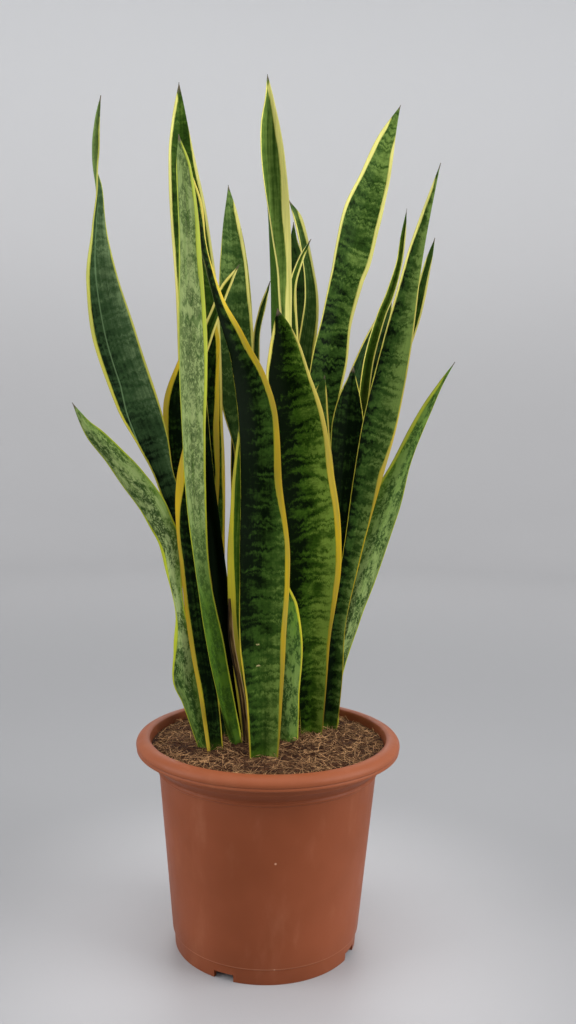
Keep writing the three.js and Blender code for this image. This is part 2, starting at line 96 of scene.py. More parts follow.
def finish(piece, materials, node, angle):
    activate(piece)
    bpy.ops.object.shade_smooth_by_angle(angle=radians(angle))
    bpy.ops.object.transform_apply()
    piece.data.materials.clear()
    for material in materials:
        piece.data.materials.append(material)
    if node:
        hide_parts(node)
    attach(piece, "root")
    piece.select_set(False)


# Number helpers

def srgb(red, green, blue):  # a colour as the eye sees it, 0 to 255, as Blender's linear colour
    parts = [c / 255 for c in (red, green, blue)]
    return tuple(c / 12.92 if c <= 0.04045 else ((c + 0.055) / 1.055) ** 2.4 for c in parts) + (1.0,)


def mix(a, b, share):
    return a + (b - a) * share


def softStep(value, low, high):
    share = np.clip((value - low) / (high - low), 0, 1)
    return share * share * (3 - 2 * share)


def unit(vectors):
    return vectors / np.linalg.norm(vectors, axis=-1, keepdims=True)


# Material helper: most methods add one node and give back its output

class Maker:
    def __init__(self, name, ground=None):
        self.material = bpy.data.materials.new(name)
        self.material.use_nodes = True
        self.tree = self.material.node_tree
        self.shader = self.tree.nodes["Principled BSDF"]
        self.surface = ground  # the colour so far

    def fill(self, node, values):  # links or sets the node's inputs
        for key, value in values.items():
            if isinstance(value, bpy.types.NodeSocket):
                self.tree.links.new(value, node.inputs[key])
            else:
                node.inputs[key].default_value = value

    def add(self, kind, values, output=0, **settings):
        made = self.tree.nodes.new("ShaderNode" + kind)
        for key, value in settings.items():
            setattr(made, key, value)
        self.fill(made, values)
        return made.outputs[output]

    def split(self, vector):
        return self.add("SeparateXYZ", {0: vector}, slice(0, 3))

    def parts(self, name):  # the three numbers that an attribute holds
        return self.split(self.add("Attribute", {}, "Vector", attribute_name=name))

    def position(self):
        return self.add("TexCoord", {}, "Object")

    def join(self, x, y, z):
        return self.add("CombineXYZ", {0: x, 1: y, 2: z})

    def calc(self, operation, a, b=0.0, c=0.0, clamp=False):
        return self.add("Math", {0: a, 1: b, 2: c}, operation=operation, use_clamp=clamp)

    def plus(self, a, b):
        return self.calc("ADD", a, b)

    def minus(self, a, b):
        return self.calc("SUBTRACT", a, b)

    def times(self, a, b):
        return self.calc("MULTIPLY", a, b)

    def scaleAdd(self, a, scale, b, clamp=False):  # a times scale, plus b
        return self.calc("MULTIPLY_ADD", a, scale, b, clamp)

    def size(self, a):
        return self.calc("ABSOLUTE", a)

    def reach(self, a, b):  # the distance of (a, b) from zero
        return self.calc("SQRT", self.scaleAdd(a, a, self.times(b, b)))

    def noise(self, vector, scale, detail, rough):
        values = {"Vector": vector, "Scale": scale, "Detail": detail, "Roughness": rough}
        return self.add("TexNoise", values)

    def climb(self, value, low, high, top=1.0, bottom=0.0):  # a soft step from bottom up to top
        values = {"Value": value, "From Min": low, "From Max": high, "To Min": bottom, "To Max": top}
        return self.add("MapRange", values, interpolation_type="SMOOTHSTEP")

    def fall(self, value, low, high, top=1.0, bottom=0.0):  # a soft step from top down to bottom
        return self.climb(value, low, high, bottom, top)

    def blend(self, share, a, b):
        return self.add("Mix", {0: share, 6: a, 7: b}, 2, data_type="RGBA")

    def paint(self, share, colour):  # lays a colour over the surface
        self.surface = self.blend(share, self.surface, colour)

    def dress(self, roughness, specular, bumpHeight, strength, distance):
        bump = self.add("Bump", {"Height": bumpHeight, "Strength": strength, "Distance": distance})
        looks = {"Base Color": self.surface, "Roughness": roughness, "Normal": bump}
        self.fill(self.shader, {**looks, "Specular IOR Level": specular})
        return self.material


# Camera, at the photograph's angle

camera = dict(
    place=(0.0182, -1.0687, 0.5765), lens=33.4, sensor=36, downTurn=4.36, roll=0.97,
    clip=(0.02, 60),
)


def makeCamera():
    bpy.ops.object.camera_add(location=camera["place"])
    made = bpy.context.object
    tilt = Matrix.Rotation(radians(90 - camera["downTurn"]), 3, "X")
    roll = Matrix.Rotation(radians(camera["roll"]), 3, "Z")
    made.rotation_euler = (tilt @ roll).to_euler()
    made.data.sensor_width = camera["sensor"]
    made.data.lens = camera["lens"]
    made.data.clip_start, made.data.clip_end = camera["clip"]
    bpy.context.scene.camera = made


makeCamera()
print("camera placed")


# Leaves

# The last two entries give where painted light starts to pale the yellow margins with height, as lit from
# above, and the rise in millimetres over which it grows full
leafShape = dict(
    footThickness=5.5, bladeThickness=2.6, tipThickness=1.2, edgeThickness=1.0,
    thinThickness=0.7, footFold=42, footShare=0.3, slenderHalfWidth=8,
    waveLength=165, waveStarts=0.2, waveFull=0.45, columns=24, rowSpacing=4,
    tipCrowding=1.15, edgeRound=0.7, spike=1.7, spikeEnd=0.7, spikeLength=12, edgeSharpness=0.93,
    ruffle=0.7, ruffleLength=34, midGroove=0.45, grooveWidth=0.12, sharpKeel=0.2,
    marginSwing=0.22, swingLength=60, litCreamFrom=480, litCreamRise=330,
)

# How each leaf is shaped and marked. A list is spaced evenly from its buried end to its tip.
# route: stations up its middle: [x, y, z, full width, turn]. Turn is where its upper face looks:
#   0 the front, 90 the right, 180 the back. Left and right are as seen at turn 0.
# fold: how far its halves fold up; keel: how round the fold is; wave: how far its edges wave.
# margins: the widths of its yellow bands, left and right; clear: how far below the tip they end.
# green: how green the yellow is; then painted shade, how far the yellow is dulled to olive, and painted
# light, how far it pales to cream.
# light: painted light and shade, how pale its upper face is, and how far its under face is darkened where
# light is low; lean: painted light, how much paler to the right, as lit from that side; cross: how strong its
#   cross bands are; blue: how bluish; brown: how brown; dry: how long its dried tip is.
# under: how pale its under face is; blotch: how dark the blotches there are.
# the pale line: a painted highlight along a crease; where it runs up the leaf, from -1 at the left edge to 1
# at the right.
# scars: where two small scars lie: across it, and twice up it.
usualLeaf = dict(
    fold=20, keel=0.4, wave=1, margins=([0, 0], [0, 0]), clear=(20, 20), dry=8, light=[0, 0], lean=0,
    cross=0.8, blue=0.2, brown=[0, 0], green=0.12, marginShade=[0, 0], litCream=0, under=[0.5, 0.7, 0.6],
    blotch=0.3, creaseHighlight=[-99, -99], scars=(-999, -999, -999), thin=False, slot="leaf",
)

leaves = {
    "leaf_left_tall": dict(
        wave=1.5, cross=0.5, lean=0.5, blue=1, green=0.4,
        margins=([1.2, 1.2, 1.2, 1.4, 1.8, 2.2, 3.4, 4.2, 3.6, 1.4, 0.6],
            [1] * 5 + [1.4, 2.6, 2.2, 1.6, 1.2, 0.6]),
        light=[0.1] * 4 + [0.15, 0.3, 0.42, 0.5, 0.6, 0.35, 0.2], under=[0.3, 0.3, 0.5, 0.6],
        creaseHighlight=[-2] * 4 + [-1.5, -0.95, -0.48, -0.4, -0.36, 0, 0],
        route=[[-49, 4, 206, 25, 10], [-71, 5, 346, 29, 10], [-95, 0, 461, 25, 8], [-119, -6, 529, 23, 5],
            [-133, -10, 573, 37, 5], [-150, -17, 618, 49, 3], [-171, -26, 681, 51, 3],
            [-185, -35, 744, 36, 10], [-189, -42, 795, 21, 45], [-188, -47, 835, 15, 85],
            [-191, -51, 865, 16, 130], [-187, -57, 903, 7, 150], [-182, -60, 927, 0, 155]]),
    "leaf_left_back": dict(
        fold=18, wave=2, clear=(12, 60), dry=14, cross=0.6, blue=0.1, margins=([3, 4, 3.8], [3, 3.6, 3.6]),
        light=[0.2, 0.3, 0.45],
        route=[[-54, 40, 206, 25, 0], [-73, 48, 385, 38, 10], [-85, 56, 574, 53, 13], [-94, 63, 738, 53, 15],
            [-102, 67, 808, 48, 16], [-114, 72, 901, 34, 17], [-117, 75, 947, 19, 17],
            [-118, 78, 991, 0, 18]]),
    "leaf_left_front": dict(
        fold=25, clear=(6, 20), lean=0.4, blue=0, green=0.75, blotch=0.7, slot="leaf_back",
        margins=([1] * 4 + [1.1, 1.6, 2.4, 3.6, 4.4, 2.8, 1.4],
            [1, 1, 1, 1.4, 1.8, 1.6, 1.5, 1.8, 2.2, 2, 1.6]),
        light=[0.3, 0.35] + [0.5] * 4 + [0.4, 0.3],
        under=[0.4, 0.35, 0.3, 0.4, 0.65, 0.9, 0.95, 0.95, 0.9, 0.85, 0.75],
        route=[[-32, -14, 206, 17, 168], [-47, -48, 288, 21, 168], [-60, -60, 358, 22, 165],
            [-72, -66, 425, 19, 160], [-79, -72, 490, 23, 160], [-83, -80, 564, 29, 162],
            [-84, -92, 675, 34, 165], [-87, -104, 783, 25, 165], [-91, -112, 840, 17, 165],
            [-95, -116, 872, 0, 165]]),
    "leaf_left_low": dict(
        fold=15, clear=(8, 20), cross=0.5, blue=0.3, litCream=-0.8,
        margins=([4] + [5] * 7 + [6, 9, 6], [1.5, 1.5]), light=[0, 0.03, 0.06],
        marginShade=[0.2] * 4 + [0.3, 0.4, 0.5, 0.3, 0, 0, 0],
        route=[[-54, -50, 206, 19, 8], [-66, -34, 289, 22, 8], [-78, -31, 355, 24, 15],
            [-87, -30, 421, 25, 20], [-95, -30, 487, 22, 20], [-97, -29, 530, 17, 20],
            [-96, -28, 574, 0, 20]]),
    "leaf_left_wide": dict(
        fold=15, wave=2, clear=(8, 8), cross=0.5, litCream=-1,
        margins=([4] * 8 + [7, 6, 4], [4, 4, 4, 5] + [6.5] * 4 + [6, 5, 4]), light=[0, 0.03, 0.08],
        marginShade=[0.6] * 7 + [0.3, 0, 0, 0],
        route=[[-50, 20, 206, 22, 0], [-66, 22, 319, 31, 4], [-81, 24, 389, 33, 6], [-86, 25, 459, 44, 7],
            [-90, 26, 529, 58, 9], [-95, 24, 608, 66, 10], [-88, 23, 654, 52, 11], [-78, 21, 691, 32, 12],
            [-71, 20, 718, 0, 12]]),
    "leaf_left_outer": dict(
        wave=1.5, lean=-0.7, blue=0.1, green=0.8, blotch=1, slot="leaf_back",
        margins=([1.2, 1.6, 1.2], [1.2, 1.2, 1.2, 3, 8, 9, 3, 1.2, 1.2, 1.2, 1]), light=[0.4, 0.5, 0.5],
        under=[0.5, 0.5, 0.6, 0.8, 0.95, 0.95, 0.95, 0.9, 0.85, 0.75, 0.7],
        route=[[-62, -38, 206, 15, 180], [-86, -32, 286, 24, 180], [-93, -30, 308, 31, 180],
            [-95, -28, 341, 26, 178], [-102, -27, 386, 20, 140], [-109, -28, 426, 23, 150],
            [-112, -31, 459, 28, 165], [-121, -35, 482, 29, 175], [-131, -37, 503, 31, 180],
            [-151, -40, 531, 30, 185], [-171, -43, 556, 24, 185], [-190, -46, 577, 19, 185],
            [-201, -47, 590, 11, 185], [-214, -50, 612, 0, 185]]),
    "leaf_centre_front": dict(
        fold=18, wave=1.5, clear=(200, 12), cross=0.7, lean=0.75, litCream=-0.6,
        margins=([1.5, 2.2, 2, 0.5] + [0.2] * 5 + [0.3, 0.4], [1.5, 3, 5, 6, 6, 6.5, 6.5, 6, 4.5, 3, 2]),
        light=[0.42, 0.42, 0.36, 0.22, 0.1, 0.02, -0.04, -0.1, -0.1, 0, 0.1],
        marginShade=[0.7, 0.5, 0.3, 0.1, 0.2, 0.6, 0.5, 0.2, 0.1, 0.1, 0.1], scars=(-5, 152, 129),
        route=[[-4, -59, 206, 35, 4], [-5, -62, 296, 43, 9], [-8, -65, 362, 53, 12], [-7, -68, 449, 57, 12],
            [-12, -66, 534, 46, 12], [-16, -64, 597, 45, 12], [-25, -61, 638, 37, 12],
            [-39, -58, 675, 23, 20], [-59, -57, 718, 19, 50], [-76, -56, 773, 17, 60],
            [-84, -55, 819, 16, 60], [-92, -54, 861, 0, 60]]),
    "leaf_centre_slim": dict(
        clear=(8, 20), cross=0.2, blue=0, green=0.5,
        margins=([5, 8, 9, 10, 10, 10, 9, 7, 5, 4, 3], [3, 4, 3]), light=[0.4, 0.5, 0.5],
        marginShade=[0.8, 0.75, 0.7, 0.65, 0.5, 0.4, 0.35, 0.35, 0.3, 0.2, 0.1],
        route=[[-18, -4, 206, 16, 0], [-34, -12, 350, 22, 8], [-40, -16, 442, 21, 18],
            [-39, -19, 509, 17, 25], [-38, -21, 553, 10, 28], [-37, -22, 592, 0, 30]]),
    "leaf_centre_folded": dict(
        fold=40, keel=0.12, clear=(5, 5), cross=0.4, blue=0.1, margins=([0] * 7 + [0.5, 3, 4, 3],) * 2,
        light=[-0.2] * 6 + [-0.1, 0, 0.2, 0.3, 0.3],
        route=[[-30, 20, 206, 21, 0], [-49, 17, 346, 25, 0], [-65, 12, 462, 24, 0], [-79, 2, 575, 24, 0],
            [-83, -7, 660, 20, 0], [-74, -12, 689, 18, 0], [-65, -14, 712, 16, 0], [-55, -16, 738, 14, 0],
            [-39, -18, 766, 0, 0]]),
    "leaf_centre_back": dict(
        fold=15, wave=1.5, clear=(60, 20), cross=0.6, blue=0.4, margins=([2, 1.4, 1.2], [3, 4.2, 4]),
        light=[0.1, 0.45, 0.6],
        route=[[-16, 60, 206, 25, 8], [-26, 68, 382, 33, 16], [-33, 78, 557, 37, 24], [-45, 84, 623, 50, 25],
            [-51, 90, 696, 49, 27], [-54, 97, 768, 41, 28], [-58, 106, 852, 15, 29], [-61, 110, 883, 0, 30]]),
    "leaf_centre_thin": dict(
        wave=0.5, clear=(10, 10), cross=0.4, margins=([3, 3.5, 3.5], [3, 3, 2.5]), light=[0.1, 0.2, 0.4],
        route=[[-1, 44, 206, 16, 15], [-11, 48, 386, 22, 40], [-22, 52, 575, 25, 52], [-24, 54, 692, 16, 60],
            [-18, 54, 727, 14, 60], [-7, 54, 760, 0, 60]]),
    "leaf_tallest": dict(
        fold=45, keel=0.15, clear=(8, 8), cross=0.2, litCream=0.3, margins=([3, 3.4, 3], [4, 8.5, 7]),
        light=[0.1, 0.75, 0.7], under=[0.1, 0.1, 0.05],
        route=[[14, 40, 206, 26, 20], [11, 42, 390, 34, 30], [4, 42, 576, 38, 50], [-3, 40, 690, 48, 78],
            [-5, 36, 757, 50, 64], [-8, 32, 824, 46, 46], [-12, 29, 889, 42, 28], [-13, 27, 927, 32, 22],
            [-12, 25, 953, 17, 20], [-13, 24, 982, 0, 20]]),
    "leaf_rear_left": dict(
        clear=(10, 10), dry=26, cross=0.4, blue=0.3, margins=([2, 2, 1.6],) * 2, light=[0.1, 0.2, 0.4],
        route=[[-29, 84, 206, 21, 10], [-33, 96, 378, 32, 30], [-44, 112, 575, 52, 50],
            [-46, 124, 723, 39, 53], [-45, 131, 786, 23, 54], [-46, 136, 837, 0, 55]]),
    "leaf_right_front": dict(
        fold=15, wave=2, clear=(14, 20), cross=0.9, lean=1.2, blue=0,
        margins=([0.6] * 6 + [0.7, 0.8, 2, 4, 3], [1, 1.5, 2.4, 4, 6, 6.5, 7, 6, 4.5, 3, 1.5]),
        light=[0.3, 0.36, 0.4, 0.42, 0.42, 0.38, 0.28, 0.16, 0.05, -0.05, -0.1],
        marginShade=[0.8, 0.7, 0.6, 0.35] + [0] * 5 + [0.1, 0.2],
        route=[[50, 23, 206, 26, 0], [49, 18, 287, 35, 5], [48, 14, 346, 43, 8], [48, 2, 440, 63, 9],
            [45, -4, 486, 65, 9], [38, -10, 532, 63, 10], [26, -18, 599, 60, 11], [15, -24, 642, 52, 11],
            [11, -28, 674, 38, 12], [8, -31, 694, 23, 12], [3, -34, 717, 0, 12]]),
    "leaf_front_short": dict(
        clear=(6, 20), blue=0, green=0.55, blotch=1, slot="leaf_back",
        margins=([1.2, 1.2, 1.4, 2.6, 3, 2.6], [1.2, 1.2]), light=[0.4, 0.5, 0.5],
        under=[0.5, 0.55, 0.6, 0.5, 0.4, 0.3],
        route=[[25, -13, 206, 22, 180], [19, -20, 285, 33, 180], [19, -25, 343, 39, 180],
            [16, -26, 388, 33, 180], [12, -27, 416, 16, 180], [10, -27, 439, 0, 180]]),
    "leaf_right_broad": dict(
        fold=15, wave=1.5, clear=(22, 40), cross=0.9, lean=0.2, blue=0.25,
        margins=([1.4] * 5 + [1.5, 1.6, 2, 4.5, 5.5, 4], [2.4] * 4 + [2.6, 2.8, 3, 4, 5.5, 4, 3]),
        light=[0, 0.04, 0.06, 0.1, 0.14, 0.18, 0.22, 0.3, 0.4, 0.48, 0.5],
        route=[[49, 74, 206, 25, 0], [55, 76, 382, 42, 7], [55, 82, 528, 51, 12], [57, 87, 625, 43, 14],
            [64, 90, 674, 47, 15], [72, 95, 722, 40, 15], [83, 100, 771, 43, 16], [89, 102, 795, 49, 17],
            [99, 109, 844, 53, 18], [115, 116, 893, 40, 18], [130, 125, 944, 23, 19],
            [148, 132, 988, 0, 20]]),
    "leaf_right_tall": dict(
        wave=2, clear=(16, 100), lean=1.1, blue=0.3,
        margins=([0.7] * 5 + [0.8, 0.9, 1.2, 3, 3.4, 2.4], [1] * 4 + [1.6, 5, 2, 1.8, 1.8, 1.6, 0.6]),
        light=[0.1, 0.15, 0.2, 0.25, 0.3, 0.34, 0.38, 0.42, 0.46, 0.5, 0.5],
        route=[[71, 43, 206, 19, 0], [75, 40, 293, 24, 0], [79, 38, 365, 21, 0], [92, 32, 438, 23, 0],
            [108, 24, 531, 34, 0], [121, 15, 601, 42, 0], [135, 4, 678, 35, 0], [151, -12, 775, 20, 0],
            [160, -19, 816, 12, 0], [175, -28, 874, 0, 0]]),
    "leaf_right_folded": dict(
        fold=52, keel=0.12, wave=0.5, clear=(40, 20), cross=0.3, blue=0, margins=([2, 2.6, 2], [2, 2.6, 2.2]),
        light=[0.2] * 4 + [0.25, 0.3, 0.4, 0.5, 0.6, 0.6, 0.5], brown=[0.6] * 5 + [0.5, 0.35, 0.1, 0, 0, 0],
        route=[[74, 74, 206, 20, 0], [83, 84, 383, 22, 0], [98, 88, 530, 22, 0], [107, 92, 627, 20, 0],
            [113, 94, 676, 20, 0], [127, 98, 728, 18, 0], [137, 99, 754, 17, 0], [147, 102, 790, 13, 0],
            [151, 104, 818, 11, 0], [156, 108, 858, 0, 0]]),
    "leaf_right_rear": dict(
        cross=0.3, blue=0.8, margins=([1.6, 2, 2],) * 2, light=[0.15, 0.25, 0.3],
        route=[[58, 98, 206, 18, 0], [73, 106, 378, 29, 10], [88, 114, 528, 44, 18], [100, 121, 627, 47, 21],
            [117, 126, 688, 35, 23], [133, 130, 732, 20, 25], [143, 134, 770, 0, 26]]),
    "leaf_right_back": dict(
        clear=(20, 30), cross=0.4, margins=([2, 2.6, 2.6], [2, 3, 3]), light=[0.2, 0.3, 0.4],
        route=[[72, 90, 206, 16, -5], [90, 94, 381, 20, -25], [122, 98, 528, 26, -40],
            [146, 108, 651, 27, -42], [170, 114, 724, 20, -43], [181, 120, 769, 16, -44],
            [187, 124, 796, 13, -44], [194, 128, 828, 0, -45]]),
    "leaf_right_outer": dict(
        lean=0.7, blue=0, green=0.8, blotch=1, slot="leaf_back",
        margins=([1.2, 1.3, 1.3], [1.6, 1.6, 1.8, 2, 2, 2.4, 2.6, 3, 3.6, 3.4, 2.4]), light=[0.4, 0.5, 0.5],
        under=[0.5, 0.6, 0.75, 0.8, 0.75, 0.65, 0.6, 0.55, 0.5, 0.5, 0.4], marginShade=[0, 0, 0, 0.1, 0.3, 0.3],
        route=[[78, 57, 206, 14, 180], [79, 58, 288, 18, 184], [95, 60, 362, 29, 188],
            [116, 62, 434, 41, 192], [135, 65, 494, 41, 194], [156, 67, 554, 25, 196],
            [176, 69, 602, 18, 198], [197, 71, 644, 7, 199], [214, 73, 672, 0, 200]]),
    "leaf_right_inner": dict(
        fold=15, clear=(10, 10), cross=0.5, blue=0.3, margins=([1.2, 1.2, 1.1],) * 2, light=[0, 0.02, 0.02],
        route=[[62, 58, 206, 19, 0], [73, 56, 389, 29, 10], [82, 55, 530, 37, 13], [85, 54, 589, 41, 14],
            [87, 54, 624, 29, 15], [92, 54, 664, 0, 16]]),
    "leaf_rear_centre": dict(
        clear=(14, 14), cross=0.35, blue=0.4, margins=([2.4, 3, 3], [2.4, 4, 4]), light=[0.1, 0.5, 0.6],
        route=[[33, 79, 206, 21, 5], [32, 85, 380, 33, 20], [32, 92, 576, 41, 36], [33, 101, 674, 29, 39],
            [40, 108, 747, 25, 41], [32, 115, 808, 19, 42], [23, 119, 845, 15, 43], [13, 122, 869, 0, 44]]),
    "leaf_rear_dark": dict(
        cross=0.35, blue=0.4, margins=([2, 2, 1.2],) * 2, light=[0.05, 0.2, 0.35],
        route=[[18, 92, 206, 21, -5], [25, 106, 376, 39, -20], [32, 124, 576, 45, -36],
            [32, 136, 714, 35, -41], [29, 141, 788, 31, -43], [21, 143, 825, 12, -44],
            [19, 145, 848, 0, -45]]),
    "leaf_rear_narrow": dict(
        fold=30, wave=0.5, clear=(12, 12), cross=0.2, margins=([2.5, 3.2, 3],) * 2, light=[0.1, 0.35, 0.4],
        route=[[25, 62, 206, 16, 8], [18, 64, 384, 19, 22], [17, 66, 576, 23, 38], [18, 70, 695, 19, 42],
            [17, 72, 755, 13, 44], [27, 73, 790, 10, 45], [40, 74, 813, 0, 46]]),
    "leaf_young": dict(
        fold=15, wave=0.5, clear=(10, 10), dry=4, cross=0.6, blue=0.3, margins=([1.6, 2, 1.8], [1.6, 2.6, 2]),
        light=[0.2, 0.4, 0.5],
        route=[[45, 45, 206, 17, 0], [50, 42, 386, 23, -20], [58, 39, 529, 35, -28], [55, 38, 588, 26, -31],
            [55, 38, 629, 17, -33], [58, 38, 651, 0, -34]]),
}

leafColours = dict(
    dark=srgb(5, 15, 2), darkBlue=srgb(8, 18, 9),
    middle=srgb(46, 72, 15), middleBlue=srgb(52, 76, 44),
    bright=srgb(112, 138, 52), brightBlue=srgb(112, 134, 92), brown=srgb(74, 56, 28),
    # The pale crease colour on the next line is a painted highlight
    foot=srgb(92, 128, 30), creaseHighlight=srgb(112, 140, 96), scar=srgb(186, 172, 120),
    # The cream yellow below is the margins' painted light, and the olive dull yellow after it is their
    # painted shade
    golden=srgb(210, 171, 42), litCream=srgb(228, 220, 134), limeEdge=srgb(150, 176, 44),
    streak=srgb(120, 132, 34), marginShade=srgb(112, 98, 34), edgeLine=srgb(110, 84, 40),
    dry=srgb(92, 84, 68), underPale=srgb(152, 168, 108), underGreen=srgb(76, 110, 30),
    underMark=srgb(74, 102, 50), underDark=srgb(32, 58, 22), underStrip=srgb(84, 116, 32),
)

# Noise fields: scale across and along the leaf, per millimetre, detail, roughness
leafFields = dict(
    slow=(0.03, 0.02, 2, 0.5), drift=(0.05, 0.045, 1, 0.5), patch=(0.022, 0.011, 1, 0.5),
    streaks=(1.4, 0.02, 3, 0.6), hairlines=(3.2, 0.012, 2, 0.7), veins=(0.35, 0.012, 2, 0.6),
    fine=(0.9, 0.3, 3, 0.65), uneven=(0.012, 0.04, 2, 0.5), tint=(0.25, 0.018, 2, 0.5),
    cloud=(0.07, 0.09, 3, 0.6), scrawl=(0.22, 0.34, 4, 0.75), mottle=(0.42, 0.26, 3, 0.7),
    cluster=(0.12, 0.05, 3, 0.6), stroke=(0.4, 0.2, 4, 0.8),
)

# Cross bands, in millimetres: how high they are, how wide their scallops, how deeply these bend
# on calm and on lively stretches, and how ragged they are
leafBands = dict(
    upper=dict(pitch=13, columns=4.5, lively=(0.36, 0.62), bend=(0.1, 1.0), ragged=11),
    under=dict(pitch=8, columns=3.6, lively=(0.3, 0.6), bend=(0.8, 2.3), ragged=9),
)


def smoothCurve(at, values, monotone):  # a smooth curve through values given at rising positions
    values = np.array(values)
    chords = np.diff(values) / np.diff(at)
    slopes = np.empty(len(at))
    slopes[[0, -1]] = chords[[0, -1]]
    if monotone:
        before, after = chords[:-1], chords[1:]
        total = np.where(before + after == 0, 1, before + after)
        slopes[1:-1] = np.where(before * after <= 0, 0, 2 * before * after / total)
    else:
        slopes[1:-1] = (values[2:] - values[:-2]) / (at[2:] - at[:-2])

    def read(s):
        i = np.clip(np.searchsorted(at, s, side="left") - 1, 0, len(at) - 2)
        span = at[i + 1] - at[i]
        t = (s - at[i]) / span
        u = 1 - t
        ends = values[i] * u * u * (1 + 2 * t) + values[i + 1] * t * t * (3 - 2 * t)
        return ends + span * t * u * (slopes[i] * u - slopes[i + 1] * t)

    return read


def leafFrames(s, length, curves):  # middle, side, normal and half width at the distances s
    def middleAt(q):
        return np.stack([curves[k](q) for k in range(3)], axis=-1)

    middle = middleAt(s)
    along = unit(middleAt(np.minimum(s + 0.5, length)) - middleAt(np.maximum(s - 0.5, 0)))
    turn = np.radians(curves[4](s))
    side = np.stack([np.cos(turn), np.sin(turn), 0 * turn], axis=-1)
    side = unit(side - (side * along).sum(-1, keepdims=True) * along)
    normal = np.cross(side, along)
    spikeShare = np.clip((length - s) / leafShape["spikeLength"], 0, 1)
    spike = mix(leafShape["spikeEnd"], leafShape["spike"], spikeShare)
    half = np.maximum(curves[3](s), spike) / 2
    return middle, side, normal, half


def wander(s, seed, swingLength):  # a slow random swing between about -1 and 1 along a leaf
    return np.array([noise.noise(Vector((q / swingLength, seed, 0))) * 1.6 for q in s])


def startLeaf(name, rows):  # a flat slab from -1 to 1: across in x, along in y, upper side in z
    deselect()
    bpy.ops.mesh.primitive_grid_add(x_subdivisions=leafShape["columns"], y_subdivisions=rows, size=2)
    piece = bpy.context.object
    piece.name = name
    startEdit()
    bpy.ops.mesh.extrude_region_move(TRANSFORM_OT_translate={"value": (0, 0, 1)})
    endEdit()
    flat = np.empty(len(piece.data.vertices) * 3)
    piece.data.vertices.foreach_get("co", flat)
    return piece, flat.reshape(-1, 3)


